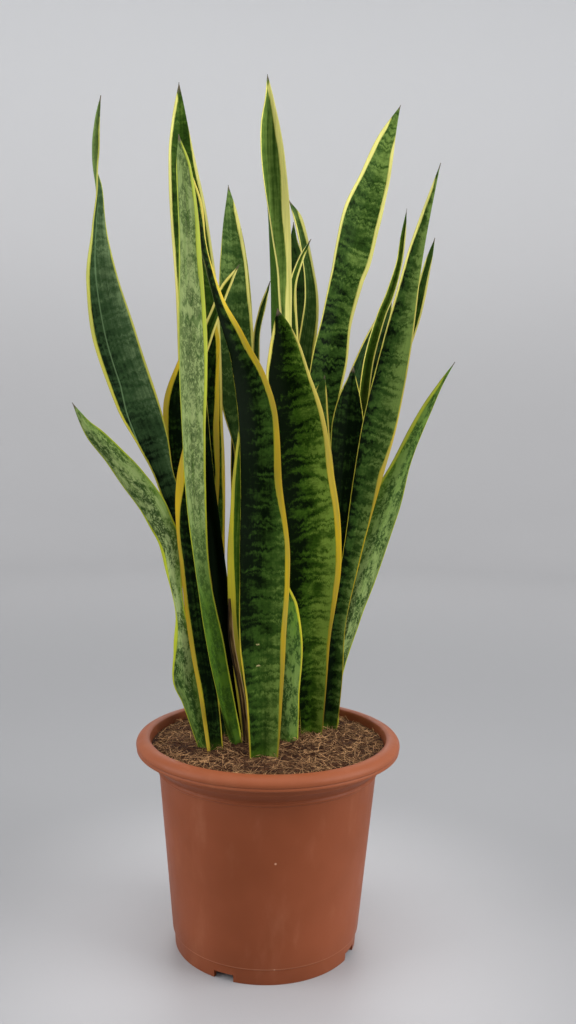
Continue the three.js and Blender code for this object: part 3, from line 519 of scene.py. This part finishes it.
def makeLeaf(name, leaf, materials, number):
    leaf, shape, route = {**usualLeaf, **leaf}, leafShape, leaf["route"]
    steps = [dist(a[:3], b[:3]) for a, b in zip(route, route[1:])]
    at = np.concatenate([[0], np.cumsum(steps)])
    length = at[-1]
    curves = [smoothCurve(at, [station[k] for station in route], k > 2) for k in range(5)]

    piece, flat = startLeaf(name, round(length / shape["rowSpacing"]))
    u = np.sin(flat[:, 0] * pi / 2)  # columns crowd towards the margins
    s = length * (1 - (1 - (flat[:, 1] + 1) / 2) ** shape["tipCrowding"])
    upper = np.where(flat[:, 2] > 0.5, 1.0, -1.0)
    levels, row = np.unique(np.round(s, 5), return_inverse=True)

    # Each row's fold, thickness and waves
    middle, side, normal, half = leafFrames(levels, length, curves)
    v = levels / length
    footShare = np.maximum(0, 1 - v / shape["footShare"]) ** 2
    fold = np.radians(mix(leaf["fold"], shape["footFold"], footShare))
    slender = np.minimum(1, half / shape["slenderHalfWidth"])
    blade = mix(shape["bladeThickness"], shape["footThickness"], footShare)
    thick = mix(shape["tipThickness"], blade, slender)
    if leaf["thin"]:
        thick = np.full_like(thick, shape["thinThickness"])
    wave = leaf["wave"] * np.sin(levels / shape["waveLength"] * 2 * pi + route[0][0])
    wave = wave * softStep(v, shape["waveStarts"], shape["waveFull"]) * slender
    ruffleLeft, ruffleRight = [
        shape["ruffle"] * wander(levels, number + shift, shape["ruffleLength"]) * slender
        for shift in (0.3, 7.7)
    ]

    # Each vertex's place
    width = half[row]
    keel = leaf["keel"]
    lift = (np.hypot(u, keel) - keel) / (hypot(1, keel) - keel)
    raised = width * np.sin(fold)[row] * lift + wave[row] * u * abs(u)
    raised += np.where(u < 0, ruffleLeft[row], ruffleRight[row]) * np.abs(u) ** 3
    if keel > shape["sharpKeel"]:
        raised -= shape["midGroove"] * slender[row] * np.exp(-((u / shape["grooveWidth"]) ** 2))
    nearEdge = np.clip((np.abs(u) * width - width + shape["edgeRound"]) / shape["edgeRound"], 0, 1)
    thickness = mix(thick[row], np.minimum(thick[row], shape["edgeThickness"]), u * u)
    thickness = thickness * np.sqrt(1 - (shape["edgeSharpness"] * nearEdge) ** 2)
    place = middle[row] + side[row] * (width * u * np.cos(fold)[row])[:, None]
    place += normal[row] * (raised + upper * thickness / 2)[:, None]
    piece.data.vertices.foreach_set("co", (place * mm).ravel())
    startEdit()
    bpy.ops.mesh.normals_make_consistent(inside=False)
    endEdit()

    # What the material reads
    def alongLeaf(values):
        return np.interp(v, np.linspace(0, 1, len(values)), values)[row]

    def band(values, clear):
        shown = softStep(toTip, clear * 0.6, clear * 1.6 + 4)
        return (alongLeaf(values) * shown - 0.3 * (toTip < clear)) * swing

    toTip = length - s
    swing = 1 + shape["marginSwing"] * wander(levels, number + 3.1, shape["swingLength"])[row]
    leftBand, rightBand = [band(*pair) for pair in zip(leaf["margins"], leaf["clear"])]
    # Painted light and shade: each leaf's paleness along it, made paler to the right by lean
    light = np.clip(alongLeaf(leaf["light"]) + leaf["lean"] * u * 0.5, -0.5, 1.2)
    # Painted highlight: distance across from a pale crease line
    creaseHighlight = (u - alongLeaf(leaf["creaseHighlight"])) * width
    # Painted light: the yellow margins pale with height, as lit from above
    litCreamShare = np.clip((place[:, 2] - shape["litCreamFrom"]) / shape["litCreamRise"] + leaf["litCream"], 0, 1)
    scarAcross, firstScar, secondScar = leaf["scars"]
    for label, values in {
        "leafPlace": (u * width, s, toTip),
        "leafEdge": ((1 + u) * width, (1 - u) * width, u),
        "leafMargin": (leftBand, rightBand, leaf["green"]),
        "leafShadingAndTone": (light, leaf["blue"], alongLeaf(leaf["brown"])),
        "leafMarkAndHighlight": (number * 37.7, alongLeaf(leaf["under"]), creaseHighlight),
        "leafDryAndShading": (leaf["dry"], litCreamShare, alongLeaf(leaf["marginShade"])),
        "leafBand": (leaf["cross"], leaf["blotch"], leaf["lean"] * u),
        "leafScar": (u * width - scarAcross, s - firstScar, s - secondScar),
    }.items():
        data = piece.data.attributes.new(label, "FLOAT_VECTOR", "POINT").data
        data.foreach_set("vector", np.stack([value + 0 * u for value in values], axis=-1).ravel())

    finish(piece, materials, name, 60)
    faceSides = [0 if sum(upper[i] for i in face.vertices) > 0 else 1 for face in piece.data.polygons]
    piece.data.polygons.foreach_set("material_index", faceSides)


def leafMaterial(name, underSide):
    m, c = Maker(name), leafColours
    across, along, toTip = m.parts("leafPlace")
    left, right, sideways = m.parts("leafEdge")
    leftBand, rightBand, greenEdge = m.parts("leafMargin")
    light, blue, brown = m.parts("leafShadingAndTone")
    seed, under, creaseHighlight = m.parts("leafMarkAndHighlight")
    dryLength, litCream, marginShade = m.parts("leafDryAndShading")
    cross, blotch, leaning = m.parts("leafBand")
    shifted = m.plus(along, seed)

    def field(kind, height=shifted):
        acrossScale, alongScale, detail, rough = leafFields[kind]
        place = m.join(m.times(across, acrossScale), m.times(height, alongScale), seed)
        return m.noise(place, 1, detail, rough)

    slow, drift, streaks, fine, veins, tint, hairlines = [
        field(kind) for kind in ("slow", "drift", "streaks", "fine", "veins", "tint", "hairlines")]

    def cycle(pitch, columns, lively, bend, ragged):  # 0 to 1 up each band, bent into scallops
        calm, full = bend
        scallop = m.calc("PINGPONG", m.scaleAdd(slow, 34, across), columns)
        bent = m.scaleAdd(scallop, m.climb(drift, *lively, full, calm), shifted)
        bent = m.scaleAdd(fine, ragged, bent)
        return m.calc("FRACT", m.scaleAdd(field("uneven", bent), 5, m.calc("DIVIDE", bent, pitch)))

    dark = m.blend(blue, c["dark"], c["darkBlue"])
    middle = m.blend(blue, c["middle"], c["middleBlue"])
    if underSide:
        # Pale ground, greener or darker where under is low
        m.surface = m.blend(m.climb(under, 0.3, 1.0), c["underGreen"], c["underPale"])
        m.paint(m.fall(under, 0.0, 0.3), middle)
        # Rows of small chevrons
        rise = cycle(**leafBands["under"])
        marks = m.times(m.climb(rise, 0.0, 0.1), m.fall(rise, 0.22, 0.5))
        marks = m.times(marks, m.climb(m.scaleAdd(drift, 0.5, field("mottle")), 0.6, 0.82, 1.0, 0.1))
        marks = m.times(marks, m.climb(under, 0.1, 0.9, 1.0, 0.5))
        marks = m.times(marks, m.fall(leaning, 0.05, 0.4, 1.0, 0.2))
        m.paint(m.times(marks, m.scaleAdd(blotch, -0.4, 1.0)), c["underMark"])
        m.paint(m.climb(veins, 0.45, 0.7, 0.4), c["underGreen"])
        # Dark blotches of short strokes, and a greener strip at one edge
        clusters = m.climb(m.scaleAdd(slow, 0.3, field("cluster")), 0.54, 0.7)
        flecks = m.times(clusters, m.climb(field("stroke"), 0.4, 0.52))
        flecks = m.times(m.times(flecks, m.fall(m.size(sideways), 0.75, 1.0, 1.0, 0.2)), blotch)
        m.paint(m.times(flecks, 0.9), c["underDark"])
        m.paint(m.climb(leaning, 0.1, 0.8, 0.75), c["underStrip"])
        # Painted shade: the under face darkens where light is low
        m.paint(m.fall(light, 0.0, 0.35, 0.65), dark)
    else:
        # Uneven cross bands, paling upwards, over patches, clouds and scrawls, with painted light and shade
        # from light and lean
        rise = cycle(**leafBands["upper"])
        bands = m.times(m.climb(rise, 0.0, 0.5), m.fall(rise, 0.62, 1.0))
        tone = m.scaleAdd(field("patch"), 0.9, m.times(light, 1.15))
        tone = m.scaleAdd(field("cloud"), 1.1, tone)
        banded = m.scaleAdd(bands, 0.55, m.scaleAdd(field("scrawl"), 1.3, tone))
        even = m.scaleAdd(veins, 1.5, m.scaleAdd(light, 1.3, 0.9))
        tone = m.scaleAdd(m.minus(banded, even), cross, even)
        m.surface = m.blend(m.climb(tone, 1.72, 2.4), dark, middle)
        m.paint(m.climb(tone, 2.3, 3.1), m.blend(blue, c["bright"], c["brightBlue"]))
        m.paint(m.times(brown, 0.8), c["brown"])
        # Painted highlight: a pale line along a crease
        m.paint(m.fall(m.size(creaseHighlight), 0.3, 1.0, 0.65), c["creaseHighlight"])
        scarAcross, firstScar, secondScar = m.parts("leafScar")
        scar = m.calc("MINIMUM", m.size(firstScar), m.size(secondScar))
        scar = m.reach(scar, m.times(scarAcross, 0.45))
        m.paint(m.fall(m.scaleAdd(fine, 5, scar), 2.9, 3.6, 0.9), c["scar"])
    m.paint(m.climb(streaks, 0.3, 0.75, 0.3), m.blend(0.5, dark, m.surface))
    m.paint(m.fall(m.scaleAdd(fine, 14, along), 24, 52, 0.5), c["foot"])

    # Yellow margins with an olive inner border, green streaks and a thin brown edge
    uneven = m.times(m.minus(m.scaleAdd(fine, 0.4, streaks), 0.7), 2.0)
    leftIn, rightIn = [
        m.minus(m.plus(width, uneven), edge) for width, edge in ((leftBand, left), (rightBand, right))]
    within = m.calc("MAXIMUM", leftIn, rightIn)
    face, m.surface = m.surface, c["golden"]
    # Painted light: the yellow pales to cream higher up, varied by a random tint
    m.paint(m.scaleAdd(tint, 0.8, m.minus(litCream, 0.35), clamp=True), c["litCream"])
    m.paint(greenEdge, c["limeEdge"])
    # Painted shade: the yellow dulls to olive where it lies in shadow, with a little random tint
    m.paint(m.scaleAdd(m.climb(tint, 0.35, 0.65), 0.2, marginShade, clamp=True), c["marginShade"])
    m.paint(m.climb(hairlines, 0.54, 0.7, 0.55), c["streak"])
    m.paint(m.fall(m.calc("MINIMUM", left, right), 0.1, 0.45, 0.4), c["edgeLine"])
    m.paint(m.fall(within, 0.2, 1.3, 0.7), c["streak"])
    m.surface = m.blend(m.climb(within, -0.25, 0.25), face, m.surface)

    # Dried tip
    dry = m.calc("DIVIDE", m.scaleAdd(m.minus(fine, 0.5), 6, toTip), dryLength)
    m.paint(m.fall(dry, 0.45, 1.15), c["dry"])
    grain = m.scaleAdd(hairlines, 0.3, m.times(streaks, 0.7))
    return m.dress(m.climb(fine, 0.2, 0.8, 0.5, 0.38), 0.015, grain, 0.35, 0.0006)


leafFaces = [leafMaterial("leafUpperFace", False), leafMaterial("leafUnderFace", True)]
for number, (name, leaf) in enumerate(leaves.items()):
    makeLeaf(name, leaf, leafFaces, number)
print("leaves modelled:", len(leaves))


# Dried remains of an old leaf

driedLeaf = dict(
    wave=0, thin=True, slot="dried_leaf",
    route=[[-21, -27, 206, 8, 0], [-29, -25, 285, 7, 0], [-42, -27, 353, 7, 0], [-45, -27, 400, 3, 0]],
)

# foldAt and edgeAt are millimetres across the leaf. The fold colour is painted shade: one side is darkened as
# a shadowed fold, so the strip looks narrower.
driedLook = dict(
    seed=40, ground=srgb(72, 52, 28), blotch=srgb(134, 106, 62), fibre=srgb(34, 24, 13),
    fold=srgb(16, 13, 9), foldAt=(-1.6, -0.6), edge=srgb(178, 150, 104), edgeAt=(2.1, 2.8),
)


def driedMaterial():
    look = driedLook
    m = Maker("driedLeafPaper", look["ground"])
    across, along = m.parts("leafPlace")[:2]
    fibres = m.noise(m.join(m.times(across, 2.2), m.times(along, 0.03), 3), 1, 4, 0.65)
    blotches = m.noise(m.join(m.times(across, 0.2), m.times(along, 0.04), 8), 1, 2, 0.5)
    m.paint(m.climb(blotches, 0.35, 0.65), look["blotch"])
    m.paint(m.climb(fibres, 0.38, 0.6, 0.85), look["fibre"])
    # Painted shade: one side darkened as a shadowed fold
    m.paint(m.fall(across, *look["foldAt"], 0.9), look["fold"])
    m.paint(m.climb(across, *look["edgeAt"], 0.8), look["edge"])
    return m.dress(0.85, 0.05, fibres, 0.8, 0.0008)


makeLeaf("dried_leaf", driedLeaf, [driedMaterial()] * 2, driedLook["seed"])
print("dried leaf modelled")


# Pot

pot = dict(
    sides=192, wall=2.5, footRadius=104, footHeight=17, footRing=4.5,
    floorBottom=10, floorTop=13, bodyBottomRadius=107, bodyTopRadius=124, bodyTop=201.5,
    bodyRings=8, beadRadius=125.8, rimRadius=150, rimTop=241, rimMiddle=232.5,
    rimCentreRadius=138, neckTop=231, lipBottom=226, lipTop=229.6, lipRadius=149.3,
    lipWidth=2.9, mouthRadius=133.5, middleRadius=20, edgeRound=0.5,
    notches=4, notchSize=(23, 30, 16), firstNotch=-24,
    drains=6, drainRadius=5, drainRing=72, drainDepth=10, drainMiddle=11.5,
)

# Heights and radii are in metres here, as the material reads them
potLook = dict(
    ground=srgb(123, 63, 35), cloud=srgb(133, 70, 42), dust=srgb(176, 122, 94),
    # Painted light: paler from the neck up over the rim, as lit from above
    rim=srgb(148, 84, 54), rimFrom=(0.205, 0.232),
    # Painted shade: darker in the hollow neck under the rim and on the inside wall above the soil
    neckShade=srgb(96, 46, 24), neckShadeRadius=(0.128, 0.1325), neckShadeFrom=(0.2, 0.21),
    mouth=srgb(84, 32, 24), mouthRadius=(0.1315, 0.1335), mouthFrom=(0.212, 0.222),
    # Painted highlight: a pale line round the foot's step edge
    stepHighlight=srgb(186, 122, 88), stepHeight=0.0182, stepWidth=(0.0005, 0.0013),
    mouldSpot=srgb(206, 160, 132), mouldSpots=[(0.0115, 0.139), (0.012, 0.018)],
    spotRadius=(0.0007, 0.0015),
)


def rimArc(outward, up, start, end, steps):
    turns = [radians(mix(start, end, i / steps)) for i in range(steps + 1)]
    centre, middle = pot["rimCentreRadius"], pot["rimMiddle"]
    return [(centre + outward * cos(a), middle + up * sin(a)) for a in turns]


def potProfile():  # (radius, height), up the outside from under the floor, over the rim and down inside
    wall, foot, top, bead = pot["wall"], pot["footRadius"], pot["bodyTop"], pot["beadRadius"]
    low, high, mouth = pot["bodyBottomRadius"], pot["bodyTopRadius"], pot["mouthRadius"]
    outRadius = pot["rimRadius"] - pot["rimCentreRadius"]
    upRadius = pot["rimTop"] - pot["rimMiddle"]
    footInner = foot - pot["footRing"]
    lip, lipBottom, lipTop = pot["lipRadius"], pot["lipBottom"], pot["lipTop"]
    shares = [i / pot["bodyRings"] for i in range(pot["bodyRings"] + 1)]
    return [
        # Under the floor, the foot ring and its step, and the body
        (pot["middleRadius"], pot["floorBottom"]), (footInner - 2, pot["floorBottom"]),
        (footInner, 0), (foot, 0), (foot + 1.2, pot["footHeight"]),
        *[(mix(low, high, share), mix(pot["footHeight"] + 1.5, top, share)) for share in shares],
        # The bead and the hollow neck
        (bead, top + 1.3), (bead, top + 3.7), (high + 0.6, top + 5), (high + 3, top + 9),
        (mouth, top + 15), (mouth + wall, pot["neckTop"]),
        *rimArc(outRadius - wall, upRadius - wall, 80, -20, 12),
        # The hanging lip and the round rim
        (lip - pot["lipWidth"], lipBottom), (lip - 0.7, lipBottom), (lip, lipBottom + 1),
        (lip, lipTop - 0.6), (lip - 0.6, lipTop), *rimArc(outRadius, upRadius, -15, 90, 22),
        # The mouth and the inside
        (mouth + 1.2, pot["rimTop"] - 1.5), (mouth, 236), (132.2, top + 18), (126.5, top + 12.5),
        (122.5, top + 6), (high - wall, top), (low - wall, pot["floorTop"]),
        (pot["middleRadius"], pot["floorTop"]),
    ]


def cut(piece):  # takes the object just added out of the piece
    cutter = bpy.context.object
    bpy.ops.object.transform_apply()
    carve = piece.modifiers.new("carve", "BOOLEAN")
    carve.object = cutter
    applyModifiers(piece)
    bpy.data.objects.remove(cutter)


def potMaterial():
    look = potLook
    m = Maker("terracottaPlastic", look["ground"])
    place = m.position()
    x, y, z = m.split(place)
    radius = m.reach(x, y)
    cloud = m.noise(place, 9, 3, 0.55)
    dust = m.noise(m.join(x, y, m.times(z, 0.35)), 34, 4, 0.6)
    grain = m.noise(place, 2600, 2, 0.5)
    m.paint(m.climb(cloud, 0.3, 0.7), look["cloud"])
    m.paint(m.climb(dust, 0.52, 0.8, 0.18), look["dust"])
    # Painted light: paler from the neck up over the rim, as lit from above
    m.paint(m.climb(z, *look["rimFrom"], 0.35), look["rim"])
    # Painted shade in the hollow neck under the rim and on the inside wall above the soil
    for part, strength in (("neckShade", 0.25), ("mouth", 0.75)):
        within = m.times(m.fall(radius, *look[part + "Radius"]), m.climb(z, *look[part + "From"]))
        m.paint(m.times(within, strength), look[part])
    # Painted highlight along the foot's step edge, varied by the dust noise
    stepHighlight = m.fall(m.size(m.minus(z, look["stepHeight"])), *look["stepWidth"], 0.55)
    m.paint(m.times(stepHighlight, m.climb(dust, 0.35, 0.6, 1.0, 0.5)), look["stepHighlight"])
    for spotX, spotZ in look["mouldSpots"]:
        away = m.reach(m.minus(x, spotX), m.minus(z, spotZ))
        spot = m.times(m.fall(away, *look["spotRadius"], 0.8), m.calc("LESS_THAN", y, 0.0))
        m.paint(spot, look["mouldSpot"])
    relief = m.scaleAdd(cloud, 0.6, m.times(grain, 0.4))
    return m.dress(m.climb(dust, 0.3, 0.8, 0.58, 0.4), 0.16, relief, 0.12, 0.001)


def around(radius, degrees, height=0):  # a point round the pot's axis, from the front to the right
    turn = radians(degrees)
    return sin(turn) * radius * mm, -cos(turn) * radius * mm, height * mm


def makePot():
    piece = turnShape("pot", potProfile(), pot["sides"])
    soften = piece.modifiers.new("soften", "BEVEL")
    soften.width = pot["edgeRound"] * mm
    soften.segments = 2
    soften.limit_method = "ANGLE"
    soften.angle_limit = radians(30)
    applyModifiers(piece)
    for i in range(pot["notches"]):
        turn = pot["firstNotch"] + i * 360 / pot["notches"]
        deselect()
        bpy.ops.mesh.primitive_cube_add(
            size=1, location=around(pot["footRadius"], turn), rotation=(0, 0, radians(turn)))
        bpy.context.object.scale = [side * mm for side in pot["notchSize"]]
        cut(piece)
    for i in range(pot["drains"] + 1):  # a ring of drains and one in the middle
        reach = pot["drainRing"] if i < pot["drains"] else 0
        deselect()
        bpy.ops.mesh.primitive_cylinder_add(
            vertices=32, radius=pot["drainRadius"] * mm, depth=pot["drainDepth"] * mm,
            location=around(reach, 90 + i * 360 / pot["drains"], pot["drainMiddle"]))
        cut(piece)
    finish(piece, [potMaterial()], "pot", 35)


makePot()
print("pot modelled")


# Soil

soil = dict(
    edge=230, edgeRadius=132.5, mound=5.5, sides=160, rings=46,
    start=(20, 13.35), speck=srgb(44, 28, 18),
    wall=[(104.15, 13.35), (121.15, 201.85), (122.15, 207.85), (126.15, 214.35), (131.85, 219.85)],
    bed=(srgb(38, 20, 11), srgb(94, 58, 34)), fibre=(srgb(56, 30, 17), srgb(220, 170, 118)),
)

# tones: how pale a fibre may be; curl and tilt: their usual swing; lift: how high above the bed
fibres = dict(
    count=5200, seed=23, joints=6, sides=3, length=(5, 18), width=(0.14, 0.38),
    curl=0.35, tilt=0.3, lift=1.8, tones=[0, 0, 0.05, 0.12, 0.2, 0.3, 0.42, 0.6, 0.9],
    clump=0.45, clumpSize=15,
)


def soilHeight(x, y):
    share = max(0, 1 - (x * x + y * y) / pot["mouthRadius"] ** 2)
    bumps = sin(x / 17 + 1) * cos(y / 13) + 0.6 * sin((x + y) / 9)
    return soil["edge"] + share * (soil["mound"] + bumps)


def crumble(x, y):
    big = noise.noise(Vector((x / 9, y / 9, 4.2)))
    small = noise.noise(Vector((x / 2.6, y / 2.6, 1.7)))
    return 1.5 * big + 0.9 * small


def soilMaterial(name, low, high, attribute=None):
    m = Maker(name, low)
    place = m.position()
    lumps = m.noise(place, 210, 4, 0.65)
    specks = m.noise(place, 900, 2, 0.6)
    m.paint(m.parts(attribute)[0] if attribute else m.climb(lumps, 0.35, 0.68), high)
    m.paint(m.climb(specks, 0.55, 0.7, 0.5), soil["speck"])
    return m.dress(0.95, 0.2, m.scaleAdd(specks, 0.4, lumps), 0.9, 0.003)


def makeSoilBed():
    edge, rings = soil["edge"], soil["rings"]
    top = [(soil["edgeRadius"] * (1 - i / rings), edge) for i in range(rings)]
    piece = turnShape("soilBed", [soil["start"], *soil["wall"], *top], soil["sides"])
    for vertex in piece.data.vertices:
        x, y, z = vertex.co / mm
        if z > edge - 0.01:
            inward = min(1, max(0, (soil["edgeRadius"] - hypot(x, y)) / 4))
            vertex.co.z = (soilHeight(x, y) + crumble(x, y) * inward) * mm
    finish(piece, [soilMaterial("coirSoil", *soil["bed"])], "soil", 60)


def tubeFaces(joints, sides):  # a fibre's triangles, with one to close each end
    last = (joints - 1) * sides
    faces = []
    for i in range(joints - 1):
        for k in range(sides):
            a, b = i * sides + k, i * sides + (k + 1) % sides
            faces += [(a, b, b + sides), (a, b + sides, a + sides)]
    return faces + [(2, 1, 0), (last, last + 1, last + 2)]


def fibrePoints(draw):  # one fibre's vertices, drawn at random, and where its far end lies
    limit, joints, sides = soil["edgeRadius"] - 1.5, fibres["joints"], fibres["sides"]
    radius = (soil["edgeRadius"] - 3) * sqrt(draw.random())
    bearing = draw.uniform(0, 2 * pi)
    x, y = radius * cos(bearing), radius * sin(bearing)
    length = draw.uniform(*fibres["length"]) * draw.uniform(0.6, 1)
    heading, curl = draw.uniform(0, 2 * pi), draw.gauss(0, fibres["curl"])
    tilt = draw.gauss(0, fibres["tilt"])
    width = draw.uniform(*fibres["width"])
    base = draw.uniform(0, fibres["lift"]) + 0.4 * abs(tilt) * length
    points = []
    for i in range(joints):
        share = i / (joints - 1)
        reach = hypot(x, y)
        if reach > limit:
            x, y = [c * limit / reach for c in (x, y)]
        z = soilHeight(x, y) + crumble(x, y) * 0.8 + base + tilt * length * (share - 0.5)
        z += 0.8 * sin(pi * share) * curl
        thin = width * (0.45 + 0.55 * sin(pi * min(max(share, 0.12), 0.88)))
        for k in range(sides):
            angle = 2 * pi * k / sides
            out, up = thin * cos(angle), thin * sin(angle)
            points.append((x - sin(heading) * out, y + cos(heading) * out, z + up))
        x += cos(heading) * length / (joints - 1)
        y += sin(heading) * length / (joints - 1)
        heading += curl / (joints - 1)
    return points, x, y


def makeFibres():  # one mesh of loose coir fibres, each with a tone of its own
    draw = random.Random(fibres["seed"])
    size = fibres["joints"] * fibres["sides"]
    shape = np.array(tubeFaces(fibres["joints"], fibres["sides"]))
    points, tones = [], []
    for _ in range(fibres["count"]):
        placed, x, y = fibrePoints(draw)
        points += placed
        clump = noise.noise(Vector((x / fibres["clumpSize"], y / fibres["clumpSize"], 8.3)))
        tone = draw.choice(fibres["tones"]) + draw.uniform(0, 0.15) + fibres["clump"] * clump
        tones += [max(0, tone)] * size
    faces = (shape + np.arange(fibres["count"])[:, None, None] * size).reshape(-1, 3)
    mesh = bpy.data.meshes.new("coirFibres")
    mesh.from_pydata((np.array(points) * mm).tolist(), [], faces.tolist())
    data = mesh.attributes.new("coirTone", "FLOAT_VECTOR", "POINT").data
    data.foreach_set("vector", np.repeat(tones, 3))
    piece = bpy.data.objects.new("coirFibres", mesh)
    bpy.context.scene.collection.objects.link(piece)
    finish(piece, [soilMaterial("coirFibre", *soil["fibre"], "coirTone")], None, 60)


makeSoilBed()
makeFibres()
print("soil modelled")


# Rhizomes: the CAD's own pieces under the soil, with a skin

rhizomeLook = dict(
    ground=srgb(196, 150, 84), patch=srgb(150, 104, 56), ring=srgb(96, 62, 34), ringScale=260,
)


def rhizomeMaterial():
    look = rhizomeLook
    m = Maker("rhizomeSkin", look["ground"])
    place = m.position()
    skin = m.noise(place, 60, 4, 0.6)
    rings = m.noise(m.join(m.times(m.split(place)[0], look["ringScale"]), 0.0, 0.0), 1, 1, 0.5)
    m.paint(m.climb(skin, 0.35, 0.65), look["patch"])
    m.paint(m.climb(rings, 0.6, 0.7, 0.6), look["ring"])
    return m.dress(0.7, 0.5, skin, 0.5, 0.001)


rhizomeSkin = rhizomeMaterial()
for name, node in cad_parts.items():
    if name.startswith("rhizome"):
        node.data.materials.clear()
        node.data.materials.append(rhizomeSkin)


# Studio: a pale floor that sweeps up all round, and soft lights

# Greys at the pot, around it, far out and high up, each reached over a stretch in metres: painted light and
# shade, with a painted shadow ring around the pot, paler far out and palest high up the wall. The wall's glow
# is painted light.
studio = dict(
    sides=96, floorRadius=3.2, wallRadius=5.0, wallHeight=5.0, sweepSteps=16,
    atPot=(0.37, 0.365, 0.375, 1), around=(0.25, 0.25, 0.257, 1), aroundAt=(0.15, 0.5),
    far=(0.606, 0.6, 0.604, 1), farAt=(0.9, 4.6), high=(0.87, 0.872, 0.88, 1),
    highAt=(0.6, 3.2), glow=0.06, glowAt=(0.1, 1.8),
    worldColour=(0.93, 0.96, 1.0, 1), worldLight=0.45, aim=(0, 0, 0.45),
    lights=[  # place, size, watts
        ((-2.3, -0.65, 1.25), (1.8, 2.0), 49),
        ((2.3, -0.65, 1.35), (1.8, 2.0), 76),
        ((0.0, -0.3, 3.1), (2.4, 2.4), 40),
        ((0.0, -2.6, 1.7), (2.0, 1.4), 6),
        ((0.0, 2.4, 2.2), (2.0, 1.4), 24),
    ],
)


def floorMaterial():
    m = Maker("paleFloor", studio["atPot"])
    x, y, z = m.split(m.position())
    away = m.reach(x, y)
    # Painted light and shade: a shadow ring round the pot, paler far out, palest high up
    for part, measure in (("around", away), ("far", away), ("high", z)):
        m.paint(m.climb(measure, *studio[part + "At"]), studio[part])
    # Painted light: the sweep glows more the higher it rises
    glow = m.blend(m.climb(z, *studio["glowAt"]), (0, 0, 0, 1), (1, 1, 1, 1))
    m.fill(m.shader, {
        "Base Color": m.surface, "Emission Color": glow, "Emission Strength": studio["glow"]})
    return m.material


def makeFloor():
    start, steps = studio["floorRadius"], studio["sweepSteps"]
    sweep = studio["wallRadius"] - start
    turns = [pi / 2 * i / steps for i in range(steps + 1)]
    profile = [(start + sweep * sin(turn), sweep * (1 - cos(turn))) for turn in turns]
    profile.append((profile[-1][0], profile[-1][1] + studio["wallHeight"]))
    floor = turnShape("studioFloor", profile, studio["sides"], 1, closed=False)
    bpy.ops.object.shade_smooth()
    floor.data.materials.append(floorMaterial())
    floor.visible_shadow = False


def makeLights():
    world = bpy.context.scene.world = bpy.data.worlds.new("softRoom")
    world.use_nodes = True
    background = world.node_tree.nodes["Background"].inputs
    background["Color"].default_value = studio["worldColour"]
    background["Strength"].default_value = studio["worldLight"]
    for place, size, watts in studio["lights"]:
        deselect()
        bpy.ops.object.light_add(type="AREA", location=place)
        light = bpy.context.object
        light.data.shape = "RECTANGLE"
        light.data.size, light.data.size_y = size
        light.data.energy = watts
        aim = Vector(studio["aim"]) - Vector(place)
        light.rotation_euler = aim.to_track_quat("-Z", "Y").to_euler()
        light.visible_camera = False
    bpy.context.scene.view_settings.view_transform = "Standard"


makeFloor()
makeLights()
print("studio lit")
